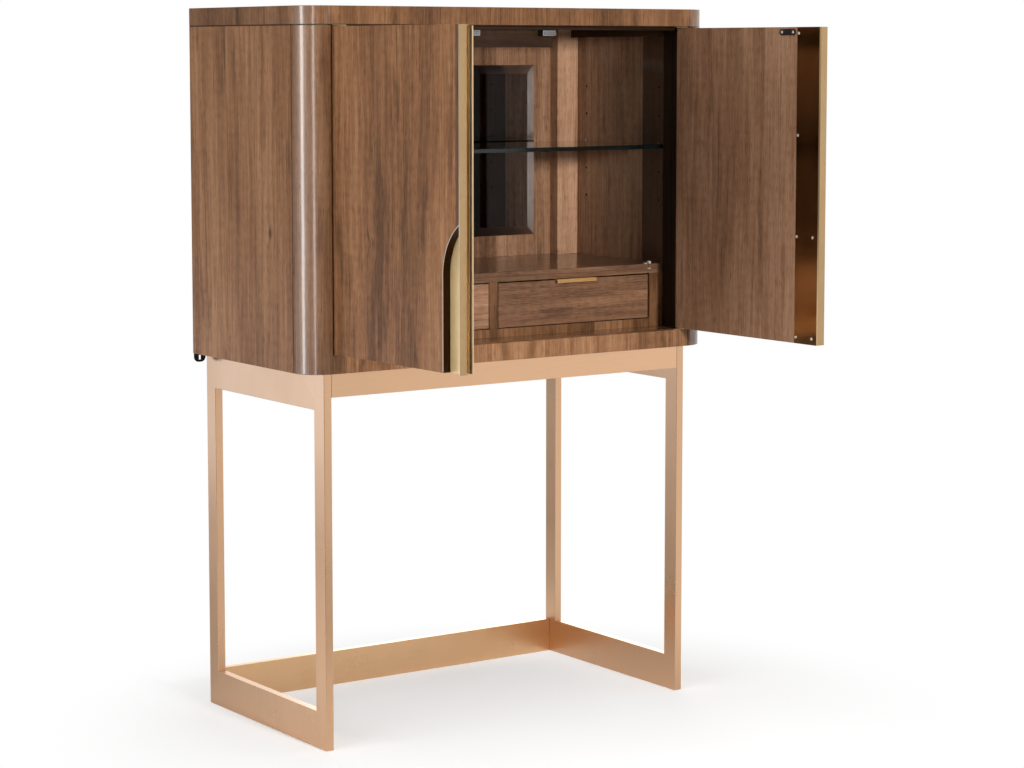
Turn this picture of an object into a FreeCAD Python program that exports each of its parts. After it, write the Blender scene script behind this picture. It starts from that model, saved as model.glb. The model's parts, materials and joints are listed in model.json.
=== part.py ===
"""Bar cabinet on a metal stand: two doors, fold-out leaf, two drawers and a glass shelf.

Frame: millimetres, +Z up, +X to the cabinet's right seen from the front, the doors face -Y.
The origin is on the floor, in the middle of the underside of the stand's back floor rail.
The doors are drawn closed about their hinge pins and then swung open to their rest angles.
"""

import FreeCAD, Part

import math
import os

import Sketcher

Vector = FreeCAD.Vector
Rotation = FreeCAD.Rotation

SIZES = {
    # case
    "case_width": 1028,
    "case_depth": 494,
    "cabinet_height": 1524,
    "stand_height": 783,
    "top_thickness": 38,
    "floor_thickness": 38,
    "post_width": 58,
    "post_depth": 60,
    "post_radius": 56,
    "jamb_depth": 92.5,
    "side_thickness": 20,
    "liner_thickness": 18,
    "liner_setback": 13,
    "front_rail_thickness": 20,
    "edge_round": 0.8,
    # back
    "back_thickness": 19,
    "back_side_inset": 13,
    "back_top_inset": 12,
    "inner_back_setback": 32,
    "inner_back_thickness": 18,
    "back_stile_width": 58,
    "back_stile_thickness": 30,
    "back_screw_inset": 10,
    "back_screw_count": 4,
    # mirror
    "mirror_side_gap": 106.5,
    "mirror_rise": 48,
    "mirror_top_gap": 85,
    "mirror_thickness": 5,
    "mirror_bevel": 20,
    "mirror_bevel_drop": 2,
    # top strips and catches
    "cleat_width": 20,
    "cleat_height": 21,
    "stop_height": 8,
    "stop_depth": 18,
    "stop_side_gap": 2,
    "stop_gap": 0.4,
    "catch_rail_width": 240,
    "catch_rail_height": 45,
    "catch_rail_thickness": 18,
    "catch_spacing": 194,
    "catch_width": 34,
    "catch_height": 12,
    "catch_drop": 9,
    "catch_gap": 0.8,
    "catch_pole_inset": 3,
    "catch_pole_height": 2,
    "catch_pole_reach": 1,
    # glass shelf
    "shelf_setback": 94,
    "shelf_rear_gap": 20,
    "shelf_thickness": 9,
    "shelf_end_gap": 2.3,
    "shelf_round": 1.5,
    "pin_radius": 2.5,
    "pin_hole_depth": 10,
    "pin_hole_pitch": 63,
    "pin_row_inset": 15,
    "pin_front_inset": 30,
    "pin_hole_count": 5,
    "shelf_rise": 443,
    "clip_thickness": 1.5,
    "clip_width": 12,
    "clip_reach": 14,
    "clip_shoulder": 1,
    "pin_clearance": 0.05,
    # counter and fold-out leaf
    "counter_setback": 94,
    "counter_top_rise": 178,
    "counter_thickness": 21,
    "leaf_side_margin": 38,
    "leaf_depth": 250,
    "leaf_thickness": 10.2,
    "leaf_gap": 0.3,
    "leaf_end_gap": 1,
    "leaf_axis_gap": 1.8,
    "leaf_knuckle_radius": 1.5,
    "leaf_pin_radius": 0.8,
    "leaf_knuckle_length": 3,
    "leaf_knuckle_gap": 0.3,
    "leaf_cap_width": 6,
    "leaf_cap_inset": 2.5,
    "leaf_cap_setback": 1,
    "leaf_cap_depth": 8,
    "leaf_cap_height": 2.6,
    "leaf_cap_round": 1.1,
    "fixed_cap_height": 6,
    "fixed_cap_round": 2.7,
    # drawers
    "divider_thickness": 22,
    "end_stile_width": 35,
    "face_frame_thickness": 18,
    "lower_rail_height": 18,
    "drawer_side_gap": 1.6,
    "drawer_end_gap": 4.3,
    "drawer_low_gap": 2,
    "drawer_top_gap": 3,
    "drawer_front_thickness": 19,
    "drawer_side_thickness": 12,
    "drawer_bottom_thickness": 6,
    "drawer_bottom_rise": 10,
    "drawer_front_overlap": 1,
    "drawer_rear_gap": 40,
    "drawer_box_drop": 12,
    "drawer_box_rise": 4,
    "runner_width": 20,
    "runner_gap": 0.3,
    "runner_front_gap": 0.4,
    "runner_rear_gap": 12,
    "guide_height": 16,
    "pull_width": 106,
    "pull_reach": 10,
    "pull_drop": 8,
    "pull_thickness": 2,
    "pull_back_reach": 8,
    # doors
    "door_thickness": 22,
    "door_outer_thickness": 18,
    "door_edge_round": 1.6,
    "door_end_gap": 3,
    "door_meeting_gap": 1.5,
    "door_low_gap": 3,
    "door_top_gap": 3,
    "left_door_angle": 88.5,
    "right_door_angle": 92,
    "hinge_inset": 6,
    "hinge_pin_radius": 3,
    "hinge_pin_reach": 12,
    "hinge_pin_end_gap": 1,
    "hinge_clearance": 0.05,
    "hinge_leaf_thickness": 1.3,
    "hinge_leaf_width": 10,
    "case_leaf_length": 32,
    "door_leaf_length": 46,
    "edge_strip_thickness": 2.5,
    "pull_recess_width": 56.6,
    "pull_recess_straight": 186,
    "pull_recess_radius": 118,
    "tray_wall": 1.6,
    "tray_floor": 1.5,
    "tray_fit": 0.2,
    "plate_width": 67,
    "plate_screw_radius": 3,
    "plate_screw_cap": 0.8,
    "plate_screw_shank_radius": 1.5,
    "plate_screw_shank": 12,
    "plate_screw_edge": 4.5,
    "plate_far_screw_edge": 14.5,
    "plate_screw_end": 13,
    "plate_screw_count": 4,
    "plate_far_screw_rise": 38,
    "strike_length": 49,
    "strike_height": 13,
    "strike_thickness": 1.5,
    "strike_end_flat": 0.13,
    "strike_screw_spacing": 33,
    "strike_top_inset": 10.5,
    "astragal_thickness": 3,
    "astragal_step": 0.6,
    "astragal_reach": 9.5,
    "astragal_hold": 18,
    "astragal_end_inset": 2.5,
    "astragal_hole_gap": 1,
    # stand
    "stand_side_setback": 50,
    "stand_front_setback": 25,
    "stand_rear_reach": 32,
    "bar_thickness": 18,
    "front_leg_depth": 40,
    "rear_leg_depth": 38,
    "side_rail_height": 79,
    "foot_rail_height": 77,
    "apron_height": 51,
    "apron_thickness": 18,
    "back_rail_thickness": 16,
    "mount_plate_size": 52,
    "mount_plate_thickness": 3,
    "mount_screw_inset": 15,
    "mount_screw_step": 12,
    "mount_screw_offset": 6,
    "case_screw_radius": 3,
    "case_screw_head_radius": 5.5,
    "case_screw_head": 2.5,
    "case_screw_bite": 20,
    "case_screw_clearance": 0.05,
    # anti-tip tabs
    "tab_width": 28,
    "tab_height": 44,
    "tab_drop": 22,
    "tab_thickness": 2,
    "tab_slot_width": 5,
    "tab_slot_height": 10,
}

# Cutters run this far past what they cut, and places closer than CLOSE count as the same.
OVERRUN = 1
CLOSE = 0.01


class Size:
    """A length that is worked out from the sheet: its text for expressions and its present value."""

    def __init__(self, text, value):
        self.text = text
        self.value = value

    def joined(self, sign, other, value):
        return Size(f"({self.text} {sign} {as_size(other).text})", value)

    def __add__(self, other):
        return self.joined("+", other, self.value + as_size(other).value)

    def __sub__(self, other):
        return self.joined("-", other, self.value - as_size(other).value)

    def __mul__(self, other):
        return self.joined("*", other, self.value * as_size(other).value)

    def __truediv__(self, other):
        return self.joined("/", other, self.value / as_size(other).value)

    def __neg__(self):
        return Size(f"(0 - {self.text})", -self.value)


def as_size(number):
    return number if isinstance(number, Size) else Size(str(number), number)


class Sheet:
    """The spreadsheet of driving dimensions, with one attribute for each of its cells."""

    def __init__(self, sizes):
        self.item = doc.addObject("Spreadsheet::Sheet", "sheet")
        for row, (name, number) in enumerate(sizes.items(), start=1):
            self.item.set(f"A{row}", name)
            self.item.set(f"B{row}", str(number))
            self.item.setAlias(f"B{row}", name)
            setattr(self, name, Size(f"sheet.{name}", number))
        doc.recompute()


def bind(item, prop, number):
    item.setExpression(prop, as_size(number).text)


def place(item, x, y, z):
    for axis, number in zip("xyz", (x, y, z)):
        bind(item, f"Placement.Base.{axis}", number)


def span(side, near, far):
    """The low and high X of something between two distances from the middle, on one side (-1 or 1)."""
    return (near, far) if side > 0 else (-far, -near)


# ---------------------------------------------------------------- shapes

def block(label, x, y, z):
    """A plain board between a low and a high value along each axis."""
    item = doc.addObject("Part::Box", label)
    for prop, (low, high) in zip(("Length", "Width", "Height"), (x, y, z)):
        bind(item, prop, as_size(high) - low)
    place(item, x[0], y[0], z[0])
    return item


def rod(label, axis, low, high, centre, radius):
    """A round bar along one axis; centre holds its other two coordinates in X, Y, Z order."""
    item = doc.addObject("Part::Cylinder", label)
    bind(item, "Radius", radius)
    bind(item, "Height", as_size(high) - low)
    turn = {"x": (Vector(0, 1, 0), 90), "y": (Vector(1, 0, 0), -90), "z": (Vector(0, 0, 1), 0)}[axis]
    item.Placement = FreeCAD.Placement(Vector(), Rotation(*turn))
    spots = list(centre)
    spots.insert("xyz".index(axis), low)
    place(item, *spots)
    return item


def group(label, items):
    """Separate solids that share one node."""
    item = doc.addObject("Part::Compound", label)
    item.Links = items
    return item


def fused(label, items):
    item = doc.addObject("Part::MultiFuse", label)
    item.Shapes = items
    item.Refine = True
    return item


def cut(label, base, tool):
    item = doc.addObject("Part::Cut", label)
    item.Base = base
    item.Tool = tool
    item.Refine = True
    return item


def new_body(label):
    return doc.addObject("PartDesign::Body", label)


def new_sketch(body, name, role, offset):
    """A sketch on one of the body's origin planes, moved along that plane's normal."""
    plane = next(plane for plane in body.Origin.OriginFeatures if plane.Role == role)
    sketch = body.newObject("Sketcher::SketchObject", name)
    sketch.AttachmentSupport = [(plane, "")]
    sketch.MapMode = "FlatFace"
    bind(sketch, "AttachmentOffset.Base.z", offset)
    return sketch


def dimension(sketch, kind, references, number):
    """A named dimension of a sketch, driven by the sheet."""
    number = as_size(number)
    index = sketch.addConstraint(Sketcher.Constraint(kind, *references, number.value))
    sketch.renameConstraint(index, f"size_{index}")
    bind(sketch, f"Constraints.size_{index}", number)


def pin_point(sketch, line, point, u, v):
    dimension(sketch, "DistanceX", (-1, 1, line, point), u)
    dimension(sketch, "DistanceY", (-1, 1, line, point), v)


def draw_outline(sketch, corners):
    """A closed outline of straight lines through the given corners."""
    first = sketch.GeometryCount
    ends = [Vector(as_size(u).value, as_size(v).value, 0) for u, v in corners]
    for start, end in zip(ends, ends[1:] + ends[:1]):
        sketch.addGeometry(Part.LineSegment(start, end))
    for index, (u, v) in enumerate(corners):
        following = first + (index + 1) % len(corners)
        sketch.addConstraint(Sketcher.Constraint("Coincident", first + index, 2, following, 1))
        pin_point(sketch, first + index, 1, u, v)


def draw_rectangle(sketch, u, v):
    draw_outline(sketch, [(u[0], v[0]), (u[1], v[0]), (u[1], v[1]), (u[0], v[1])])


def draw_circle(sketch, centre, radius):
    u, v = (as_size(number) for number in centre)
    middle = Vector(u.value, v.value, 0)
    circle = sketch.addGeometry(Part.Circle(middle, Vector(0, 0, 1), as_size(radius).value))
    dimension(sketch, "Radius", (circle,), radius)
    pin_point(sketch, circle, 3, u, v)


def pad(body, name, sketch, length, backwards=False):
    feature = body.newObject("PartDesign::Pad", name)
    feature.Profile = sketch
    feature.Reversed = backwards
    bind(feature, "Length", length)
    return feature


def pocket(body, name, sketch, length, backwards=False):
    """A pocket that has to take something away."""
    doc.recompute()
    before = body.Shape.Volume
    feature = body.newObject("PartDesign::Pocket", name)
    feature.Profile = sketch
    feature.Reversed = backwards
    bind(feature, "Length", length)
    doc.recompute()
    if body.Shape.Volume >= before:
        raise RuntimeError(f"{body.Label}: pocket {name} cuts nothing")
    return feature


def board(label, x, y, z):
    """A board as a body of its own, drawn in the XY plane and padded upwards."""
    body = new_body(label)
    sketch = new_sketch(body, f"{label}_outline", "XY_Plane", z[0])
    draw_rectangle(sketch, x, y)
    pad(body, f"{label}_pad", sketch, as_size(z[1]) - z[0])
    return body


def ease_edges(body, kind, name, amount, chosen=None):
    """Rounds or chamfers the edges that chosen picks, or all of them."""
    doc.recompute()
    base = body.Tip
    feature = body.newObject(f"PartDesign::{kind}", name)
    if chosen is None:
        feature.Base = (base, [""])
        feature.UseAllEdges = True
    else:
        names = [f"Edge{number}" for number, edge in enumerate(base.Shape.Edges, start=1) if chosen(edge)]
        feature.Base = (base, names)
    bind(feature, "Radius" if kind == "Fillet" else "Size", amount)
    return feature


def is_along(edge, axis):
    """Whether an edge is straight and runs along one axis."""
    box = edge.BoundBox
    lengths = {"x": box.XLength, "y": box.YLength, "z": box.ZLength}
    along = lengths.pop(axis)
    return along > CLOSE and max(lengths.values()) < CLOSE


def tangent_outline(sketch, near, far, low, straight, radius):
    """An upright edge at near that bends over in an arc to meet far, closed by far and low."""
    near, far, low, straight, radius = (as_size(number) for number in (near, far, low, straight, radius))
    side = 1 if far.value > near.value else -1
    middle = near.value + side * radius.value
    spring = straight.value
    reach = abs(far.value - near.value)
    rise = math.sqrt(radius.value ** 2 - (radius.value - reach) ** 2)
    top = Vector(far.value, spring + rise, 0)
    corners = [Vector(near.value, low.value, 0), Vector(far.value, low.value, 0)]
    shoulder = Vector(near.value, spring, 0)
    first = sketch.GeometryCount
    sketch.addGeometry(Part.LineSegment(corners[0], corners[1]))
    sketch.addGeometry(Part.LineSegment(corners[1], top))
    circle = Part.Circle(Vector(middle, spring, 0), Vector(0, 0, 1), radius.value)
    tip = math.atan2(rise, far.value - middle)
    base = math.pi if side > 0 else 0.0
    sketch.addGeometry(Part.ArcOfCircle(circle, min(tip, base), max(tip, base)))
    sketch.addGeometry(Part.LineSegment(shoulder, corners[0]))
    bottom, outer, arc, inner = range(first, first + 4)
    arc_top, arc_low = (1, 2) if side > 0 else (2, 1)
    for pair in ((bottom, 2, outer, 1), (outer, 2, arc, arc_top), (inner, 2, bottom, 1)):
        sketch.addConstraint(Sketcher.Constraint("Coincident", *pair))
    sketch.addConstraint(Sketcher.Constraint("Tangent", arc, arc_low, inner, 1))
    sketch.addConstraint(Sketcher.Constraint("Vertical", outer))
    sketch.addConstraint(Sketcher.Constraint("Vertical", inner))
    pin_point(sketch, bottom, 1, near, low)
    pin_point(sketch, bottom, 2, far, low)
    dimension(sketch, "Radius", (arc,), radius)
    dimension(sketch, "DistanceY", (-1, 1, arc, 3), straight)


# ---------------------------------------------------------------- places shared by the sub-parts

os.makedirs("parts", exist_ok=True)
doc = FreeCAD.newDocument("bar_cabinet")
s = Sheet(SIZES)
nodes = []

half_width = s.case_width / 2
opening_half = half_width - s.post_width
base_rear = s.back_rail_thickness / 2
case_rear = base_rear - s.stand_rear_reach
case_front = case_rear - s.case_depth
case_low = s.stand_height
floor_top = case_low + s.floor_thickness
case_top = s.cabinet_height - s.top_thickness
post_rear = case_front + s.post_depth
jamb_rear = case_front + s.jamb_depth
side_inner = half_width - s.side_thickness
liner_inner = opening_half + s.liner_setback
door_inner = case_front + s.door_thickness
inner_back = case_rear - s.inner_back_setback
stile_front = inner_back - s.back_stile_thickness
stop_front = door_inner + s.astragal_thickness + s.astragal_step + s.stop_gap
stop_rear = stop_front + s.stop_depth
counter_front = case_front + s.counter_setback
counter_top = case_low + s.counter_top_rise
counter_low = counter_top - s.counter_thickness
leaf_half = opening_half - s.leaf_side_margin
leaf_low = counter_top - s.leaf_thickness
leaf_rear = counter_front + s.leaf_depth
bed_top = leaf_low - s.leaf_gap
leaf_axis_y = counter_front - s.leaf_axis_gap
leaf_axis_z = leaf_low - s.leaf_gap / 2
door_low = floor_top + s.door_low_gap
door_top = case_top - s.door_top_gap
hinge_x = opening_half - s.door_end_gap - s.hinge_inset
hinge_y = case_front + s.hinge_inset
stand_half = half_width - s.stand_side_setback
stand_front = case_front + s.stand_front_setback
bar_inner = stand_half - s.bar_thickness


def add(item):
    """Puts a finished sub-part on the list of nodes."""
    nodes.append(item)
    return item


def name_of(side):
    return "right" if side > 0 else "left"


# ---------------------------------------------------------------- case

def make_top_panel():
    body = board("top_panel", (-half_width, half_width), (case_front, case_rear),
                 (case_top, s.cabinet_height))
    front = case_front.value + CLOSE
    ease_edges(body, "Fillet", "top_panel_corners", s.post_radius,
               lambda edge: is_along(edge, "z") and edge.BoundBox.YMax < front)
    doc.recompute()
    crown = s.cabinet_height.value - CLOSE
    ease_edges(body, "Fillet", "top_panel_rim", s.edge_round,
               lambda edge: edge.BoundBox.ZMin > crown)
    return add(body)


def make_corner_post(side):
    """A rounded post with a rebate for the side panel; its inner face is the jamb beside the door."""
    label = f"{name_of(side)}_corner_post"
    body = new_body(label)
    sketch = new_sketch(body, f"{label}_outline", "XY_Plane", case_low)
    draw_outline(sketch, [(x * side, y) for x, y in (
        (opening_half, case_front), (half_width, case_front), (half_width, post_rear),
        (side_inner, post_rear), (side_inner, jamb_rear), (opening_half, jamb_rear))])
    pad(body, f"{label}_pad", sketch, case_top - case_low)
    doc.recompute()
    outer = side * half_width.value
    front = case_front.value + CLOSE
    ease_edges(body, "Fillet", f"{label}_corner", s.post_radius,
               lambda edge: is_along(edge, "z") and edge.BoundBox.YMax < front
               and abs(edge.BoundBox.Center.x - outer) < CLOSE)
    return add(body)


def make_side_panel(side):
    x = span(side, side_inner, half_width)
    return add(block(f"{name_of(side)}_side_panel", x, (post_rear, case_rear), (case_low, case_top)))


def make_liner_panel(side):
    """The inner wall, with two columns of holes for the shelf clips."""
    label = f"{name_of(side)}_liner_panel"
    body = board(f"{label}_board", span(side, liner_inner, liner_inner + s.liner_thickness),
                 (jamb_rear, case_rear), (case_low, case_top))
    sketch = new_sketch(body, f"{label}_holes", "YZ_Plane", liner_inner if side > 0 else -liner_inner)
    lowest = clip_z - s.pin_hole_pitch * ((s.pin_hole_count.value - 1) // 2)
    for y in clip_rows:
        draw_circle(sketch, (y, lowest), s.pin_radius + s.pin_clearance)
    drill = pocket(body, f"{label}_drill", sketch, s.pin_hole_depth, backwards=side > 0)
    column = body.newObject("PartDesign::LinearPattern", f"{label}_columns")
    column.Originals = [drill]
    column.Direction = (sketch, ["V_Axis"])
    column.Mode = "Spacing"
    bind(column, "Offset", s.pin_hole_pitch)
    bind(column, "Occurrences", s.pin_hole_count)
    body.Tip = column
    bores = [rod(f"{label}_bore_{number}", "y", case_rear - s.case_screw_bite, case_rear + OVERRUN, spot,
                 s.case_screw_radius + s.case_screw_clearance)
             for number, spot in enumerate(back_screw_spots(side))]
    return add(cut(label, body, group(f"{label}_bores", bores)))


def make_floor():
    """The front rail, and the floor behind it, which is narrower between the jambs."""
    rail_rear = case_front + s.front_rail_thickness
    add(block("bottom_front_rail", (-opening_half, opening_half), (case_front, rail_rear),
              (case_low, floor_top)))
    base = new_body("bottom_board")
    sketch = new_sketch(base, "bottom_outline", "XY_Plane", case_low)
    half = [(opening_half, rail_rear), (opening_half, jamb_rear), (liner_inner, jamb_rear),
            (liner_inner, case_rear)]
    draw_outline(sketch, half + [(-x, y) for x, y in reversed(half)])
    pad(base, "bottom_pad", sketch, s.floor_thickness)
    bores = [rod(f"floor_bore_{number}", "z", case_low - OVERRUN, case_low + s.case_screw_bite, spot,
                 s.case_screw_radius + s.case_screw_clearance)
             for number, spot in enumerate(all_mount_spots())]
    add(cut("bottom_panel", base, group("floor_bores", bores)))


def make_backs():
    x = half_width - s.back_side_inset
    z = (case_low, s.cabinet_height - s.back_top_inset)
    base = block("back_board", (-x, x), (case_rear, case_rear + s.back_thickness), z)
    spots = back_screw_spots(-1) + back_screw_spots(1)
    holes = group("back_screw_holes", [
        rod(f"back_hole_{number}", "y", case_rear - OVERRUN, case_rear + s.back_thickness + OVERRUN, spot,
            s.case_screw_radius + s.case_screw_clearance)
        for number, spot in enumerate(spots)])
    add(cut("back_panel", base, holes))
    inner = (inner_back, inner_back + s.inner_back_thickness)
    add(block("inner_back_panel", (-liner_inner, liner_inner), inner, (floor_top, case_top)))
    stiles = [block(f"back_stile_{name_of(side)}",
                    span(side, liner_inner - s.back_stile_width, liner_inner),
                    (stile_front, inner_back), (counter_top, case_top)) for side in (-1, 1)]
    add(group("back_stiles", stiles))


def levels(low, high, count):
    """Evenly spaced heights from low to high."""
    steps = round(count.value) - 1
    return [low + (high - low) * step / steps for step in range(steps + 1)]


def back_screw_spots(side):
    """Where the screws of the back panel sit on one side: in the rear edge of the liner."""
    x = (liner_inner + s.liner_thickness / 2) * side
    low = case_low + s.tab_height
    high = case_top - s.back_screw_inset
    return [(x, level) for level in levels(low, high, s.back_screw_count)]


def make_mirror():
    """A plate of mirror glass with a bevel all round its front face."""
    half = liner_inner - s.mirror_side_gap
    low = counter_top + s.mirror_rise
    body = new_body("mirror")
    sketch = new_sketch(body, "mirror_outline", "XZ_Plane", -inner_back)
    draw_rectangle(sketch, (-half, half), (low, case_top - s.mirror_top_gap))
    pad(body, "mirror_pad", sketch, s.mirror_thickness)
    doc.recompute()
    plate = body.Tip
    front = next(number for number, face in enumerate(plate.Shape.Faces, start=1) if in_mirror_front(face))
    bevel = body.newObject("PartDesign::Chamfer", "mirror_bevel_cut")
    bevel.Base = (plate, [f"Face{front}"])
    bevel.ChamferType = "Two distances"
    bind(bevel, "Size", s.mirror_bevel)
    bind(bevel, "Size2", s.mirror_bevel_drop)
    doc.recompute()
    flat = next(face for face in body.Shape.Faces if in_mirror_front(face))
    bevel.FlipDirection = abs(flat.BoundBox.XMax - (half - s.mirror_bevel).value) > CLOSE
    return add(body)


def in_mirror_front(face):
    return face.BoundBox.YMax < (inner_back - s.mirror_thickness).value + CLOSE


def make_top_strips():
    x = opening_half - s.stop_side_gap
    add(block("door_stop_strip", (-x, x), (stop_front, stop_rear), (case_top - s.stop_height, case_top)))
    half = s.catch_rail_width / 2
    rear = stop_rear + s.catch_rail_thickness
    add(block("catch_rail", (-half, half), (stop_rear, rear), (case_top - s.catch_rail_height, case_top)))
    cleats = [block(f"top_cleat_{name_of(side)}", span(side, liner_inner - s.cleat_width, liner_inner),
                    (jamb_rear, stile_front), (case_top - s.cleat_height, case_top)) for side in (-1, 1)]
    add(group("top_cleats", cleats))


def make_catches():
    """Magnetic catches: a plated case with two pole strips at its front, one for each door."""
    front = door_inner + s.strike_thickness + s.catch_gap
    high = case_top - s.catch_drop
    low = high - s.catch_height
    catches = []
    for side in (-1, 1):
        middle = s.catch_spacing / 2
        half = s.catch_width / 2
        name = f"catch_{name_of(side)}"
        case_front_y = front + s.catch_pole_reach
        case = block(f"{name}_case", span(side, middle - half, middle + half), (case_front_y, stop_rear),
                     (low, high))
        x = span(side, middle - half + s.catch_pole_inset, middle + half - s.catch_pole_inset)
        feet = (low + s.catch_pole_inset, high - s.catch_pole_inset - s.catch_pole_height)
        poles = [block(f"{name}_pole_{step}", x, (front, case_front_y), (foot, foot + s.catch_pole_height))
                 for step, foot in enumerate(feet)]
        catches.append(fused(name, [case, *poles]))
    add(group("door_catches", catches))


# ---------------------------------------------------------------- glass shelf

shelf_front = case_front + s.shelf_setback
shelf_rear = stile_front - s.shelf_rear_gap
clip_rows = (shelf_front + s.pin_front_inset, shelf_rear - s.pin_row_inset)
clip_z = case_low + s.shelf_rise
shelf_top = clip_z
shelf_low = shelf_top - s.shelf_thickness


def make_glass_shelf():
    x = liner_inner - s.shelf_end_gap
    body = board("glass_shelf", (-x, x), (shelf_front, shelf_rear), (shelf_low, shelf_top))
    ease_edges(body, "Fillet", "glass_shelf_edges", s.shelf_round)
    return add(body)


def make_shelf_clips():
    """Four bent clips: a pin in the wall, an arm down past the end of the glass and a foot under it."""
    clips = []
    for side in (-1, 1):
        for number, y in enumerate(clip_rows):
            name = f"clip_{name_of(side)}_{number}"
            half = s.clip_width / 2
            inner = liner_inner - s.clip_thickness
            ends = span(side, liner_inner, liner_inner + s.pin_hole_depth - s.clip_shoulder)
            pin = rod(f"{name}_pin", "x", *ends, (y, clip_z), s.pin_radius)
            arm = block(f"{name}_arm", span(side, inner, liner_inner), (y - half, y + half),
                        (shelf_low - s.clip_thickness, clip_z + s.pin_radius + s.clip_shoulder))
            foot = block(f"{name}_foot", span(side, liner_inner - s.clip_reach, inner), (y - half, y + half),
                         (shelf_low - s.clip_thickness, shelf_low))
            clips.append(fused(name, [pin, arm, foot]))
    add(group("shelf_clips", clips))


# ---------------------------------------------------------------- counter and fold-out leaf

def make_counter():
    """The counter board, with a bed cut into its top that the leaf lies in."""
    base = block("counter_blank", (-liner_inner, liner_inner), (counter_front, inner_back),
                 (counter_low, counter_top))
    half = leaf_half + s.leaf_end_gap
    bed = block("leaf_bed", (-half, half), (counter_front - OVERRUN, leaf_rear + s.leaf_gap),
                (bed_top, counter_top + OVERRUN))
    add(cut("counter_board", base, bed))


def leaf_knuckle(name, side, near, foot):
    """A round eye on the leaf's axis with a foot on the wood behind it; foot is the foot's height range."""
    x = span(side, near, near + s.leaf_knuckle_length)
    eye = rod(f"{name}_eye", "x", *x, (leaf_axis_y, leaf_axis_z), s.leaf_knuckle_radius)
    return fused(f"{name}_knuckle", [eye, block(f"{name}_foot", x, (leaf_axis_y, counter_front), foot)])


def leaf_cap(name, side, near, height, rounding):
    """The rounded cap that closes a hinge on top of the wood."""
    x = span(side, near, near + s.leaf_cap_width)
    near_y = counter_front + s.leaf_cap_setback
    y = (near_y, near_y + s.leaf_cap_depth)
    body = board(name, x, y, (counter_top, counter_top + height))
    high = (counter_top + height).value
    ease_edges(body, "Fillet", f"{name}_round", rounding, lambda edge: edge.BoundBox.ZMin > high - CLOSE)
    return body


def make_leaf_hinges():
    """Two pivot hinges in the front corners: the leaf turns on pins that stay in the counter's eyes."""
    fixed, moving = [], []
    for side in (-1, 1):
        name = f"leaf_hinge_{name_of(side)}"
        gap = s.leaf_knuckle_gap
        outer = leaf_half + s.leaf_end_gap + gap
        inner = leaf_half - s.leaf_knuckle_length - gap
        radius = s.leaf_knuckle_radius
        plain = leaf_knuckle(f"{name}_fixed", side, outer, (leaf_axis_z - radius, leaf_axis_z + radius))
        pin = rod(f"{name}_pin", "x", *span(side, inner + gap, outer + radius), (leaf_axis_y, leaf_axis_z),
                  s.leaf_pin_radius)
        fixed.append(fused(f"{name}_pivot", [plain, pin]))
        fixed.append(leaf_cap(f"{name}_fixed_cap", side, leaf_half + s.leaf_cap_inset, s.fixed_cap_height,
                              s.fixed_cap_round))
        eye = leaf_knuckle(f"{name}_moving", side, inner, (leaf_low, leaf_axis_z + radius))
        bore = rod(f"{name}_bore", "x", *span(side, inner - OVERRUN, outer), (leaf_axis_y, leaf_axis_z),
                   s.leaf_pin_radius + s.hinge_clearance)
        moving.append(cut(f"{name}_eye_bored", eye, bore))
        moving.append(leaf_cap(f"{name}_moving_cap", side, leaf_half - s.leaf_cap_inset - s.leaf_cap_width,
                               s.leaf_cap_height, s.leaf_cap_round))
    add(group("counter_hinges", fixed))
    add(group("fold_leaf_hinges", moving))


def make_fold_leaf():
    add(board("fold_leaf", (-leaf_half, leaf_half), (counter_front, leaf_rear), (leaf_low, counter_top)))


# ---------------------------------------------------------------- drawers

divider_half = s.divider_thickness / 2
stile_inner = opening_half - s.end_stile_width
frame_rear = counter_front + s.face_frame_thickness
rail_top = floor_top + s.lower_rail_height
drawer_near = divider_half + s.drawer_side_gap
drawer_far = stile_inner - s.drawer_end_gap
drawer_low = rail_top + s.drawer_low_gap
drawer_high = counter_low - s.drawer_top_gap
drawer_face_rear = counter_front + s.drawer_front_thickness
drawer_rear = inner_back - s.drawer_rear_gap
box_near = drawer_near + s.drawer_front_overlap
box_far = drawer_far - s.drawer_front_overlap
box_low = drawer_low + s.drawer_box_rise
box_high = drawer_high - s.drawer_box_drop
runner_top = box_low - s.runner_gap


def make_drawer_frame():
    add(block("drawer_divider", (-divider_half, divider_half), (counter_front, inner_back),
              (floor_top, counter_low)))
    y = (counter_front, frame_rear)
    pieces = []
    for side in (-1, 1):
        name = name_of(side)
        pieces.append(block(f"end_stile_{name}", span(side, stile_inner, liner_inner), y,
                            (floor_top, counter_low)))
        pieces.append(block(f"lower_rail_{name}", span(side, divider_half, stile_inner), y,
                            (floor_top, rail_top)))
    add(group("drawer_face_frame", pieces))


def make_runners():
    """Hardwood runners under the drawers' sides, and a guide beside each outer side."""
    front = drawer_face_rear + s.runner_front_gap
    y = (front, inner_back - s.runner_rear_gap)
    z = (floor_top, runner_top)
    pieces = []
    for side in (-1, 1):
        name = name_of(side)
        inner = block(f"runner_inner_{name}", span(side, divider_half, divider_half + s.runner_width), y, z)
        foot = block(f"runner_foot_{name}", span(side, box_far - s.runner_width, liner_inner), y, z)
        guide = block(f"runner_guide_{name}", span(side, drawer_far, liner_inner), y,
                      (runner_top, runner_top + s.guide_height))
        pieces += [inner, fused(f"runner_outer_{name}", [foot, guide])]
    add(group("drawer_runners", pieces))


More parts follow.
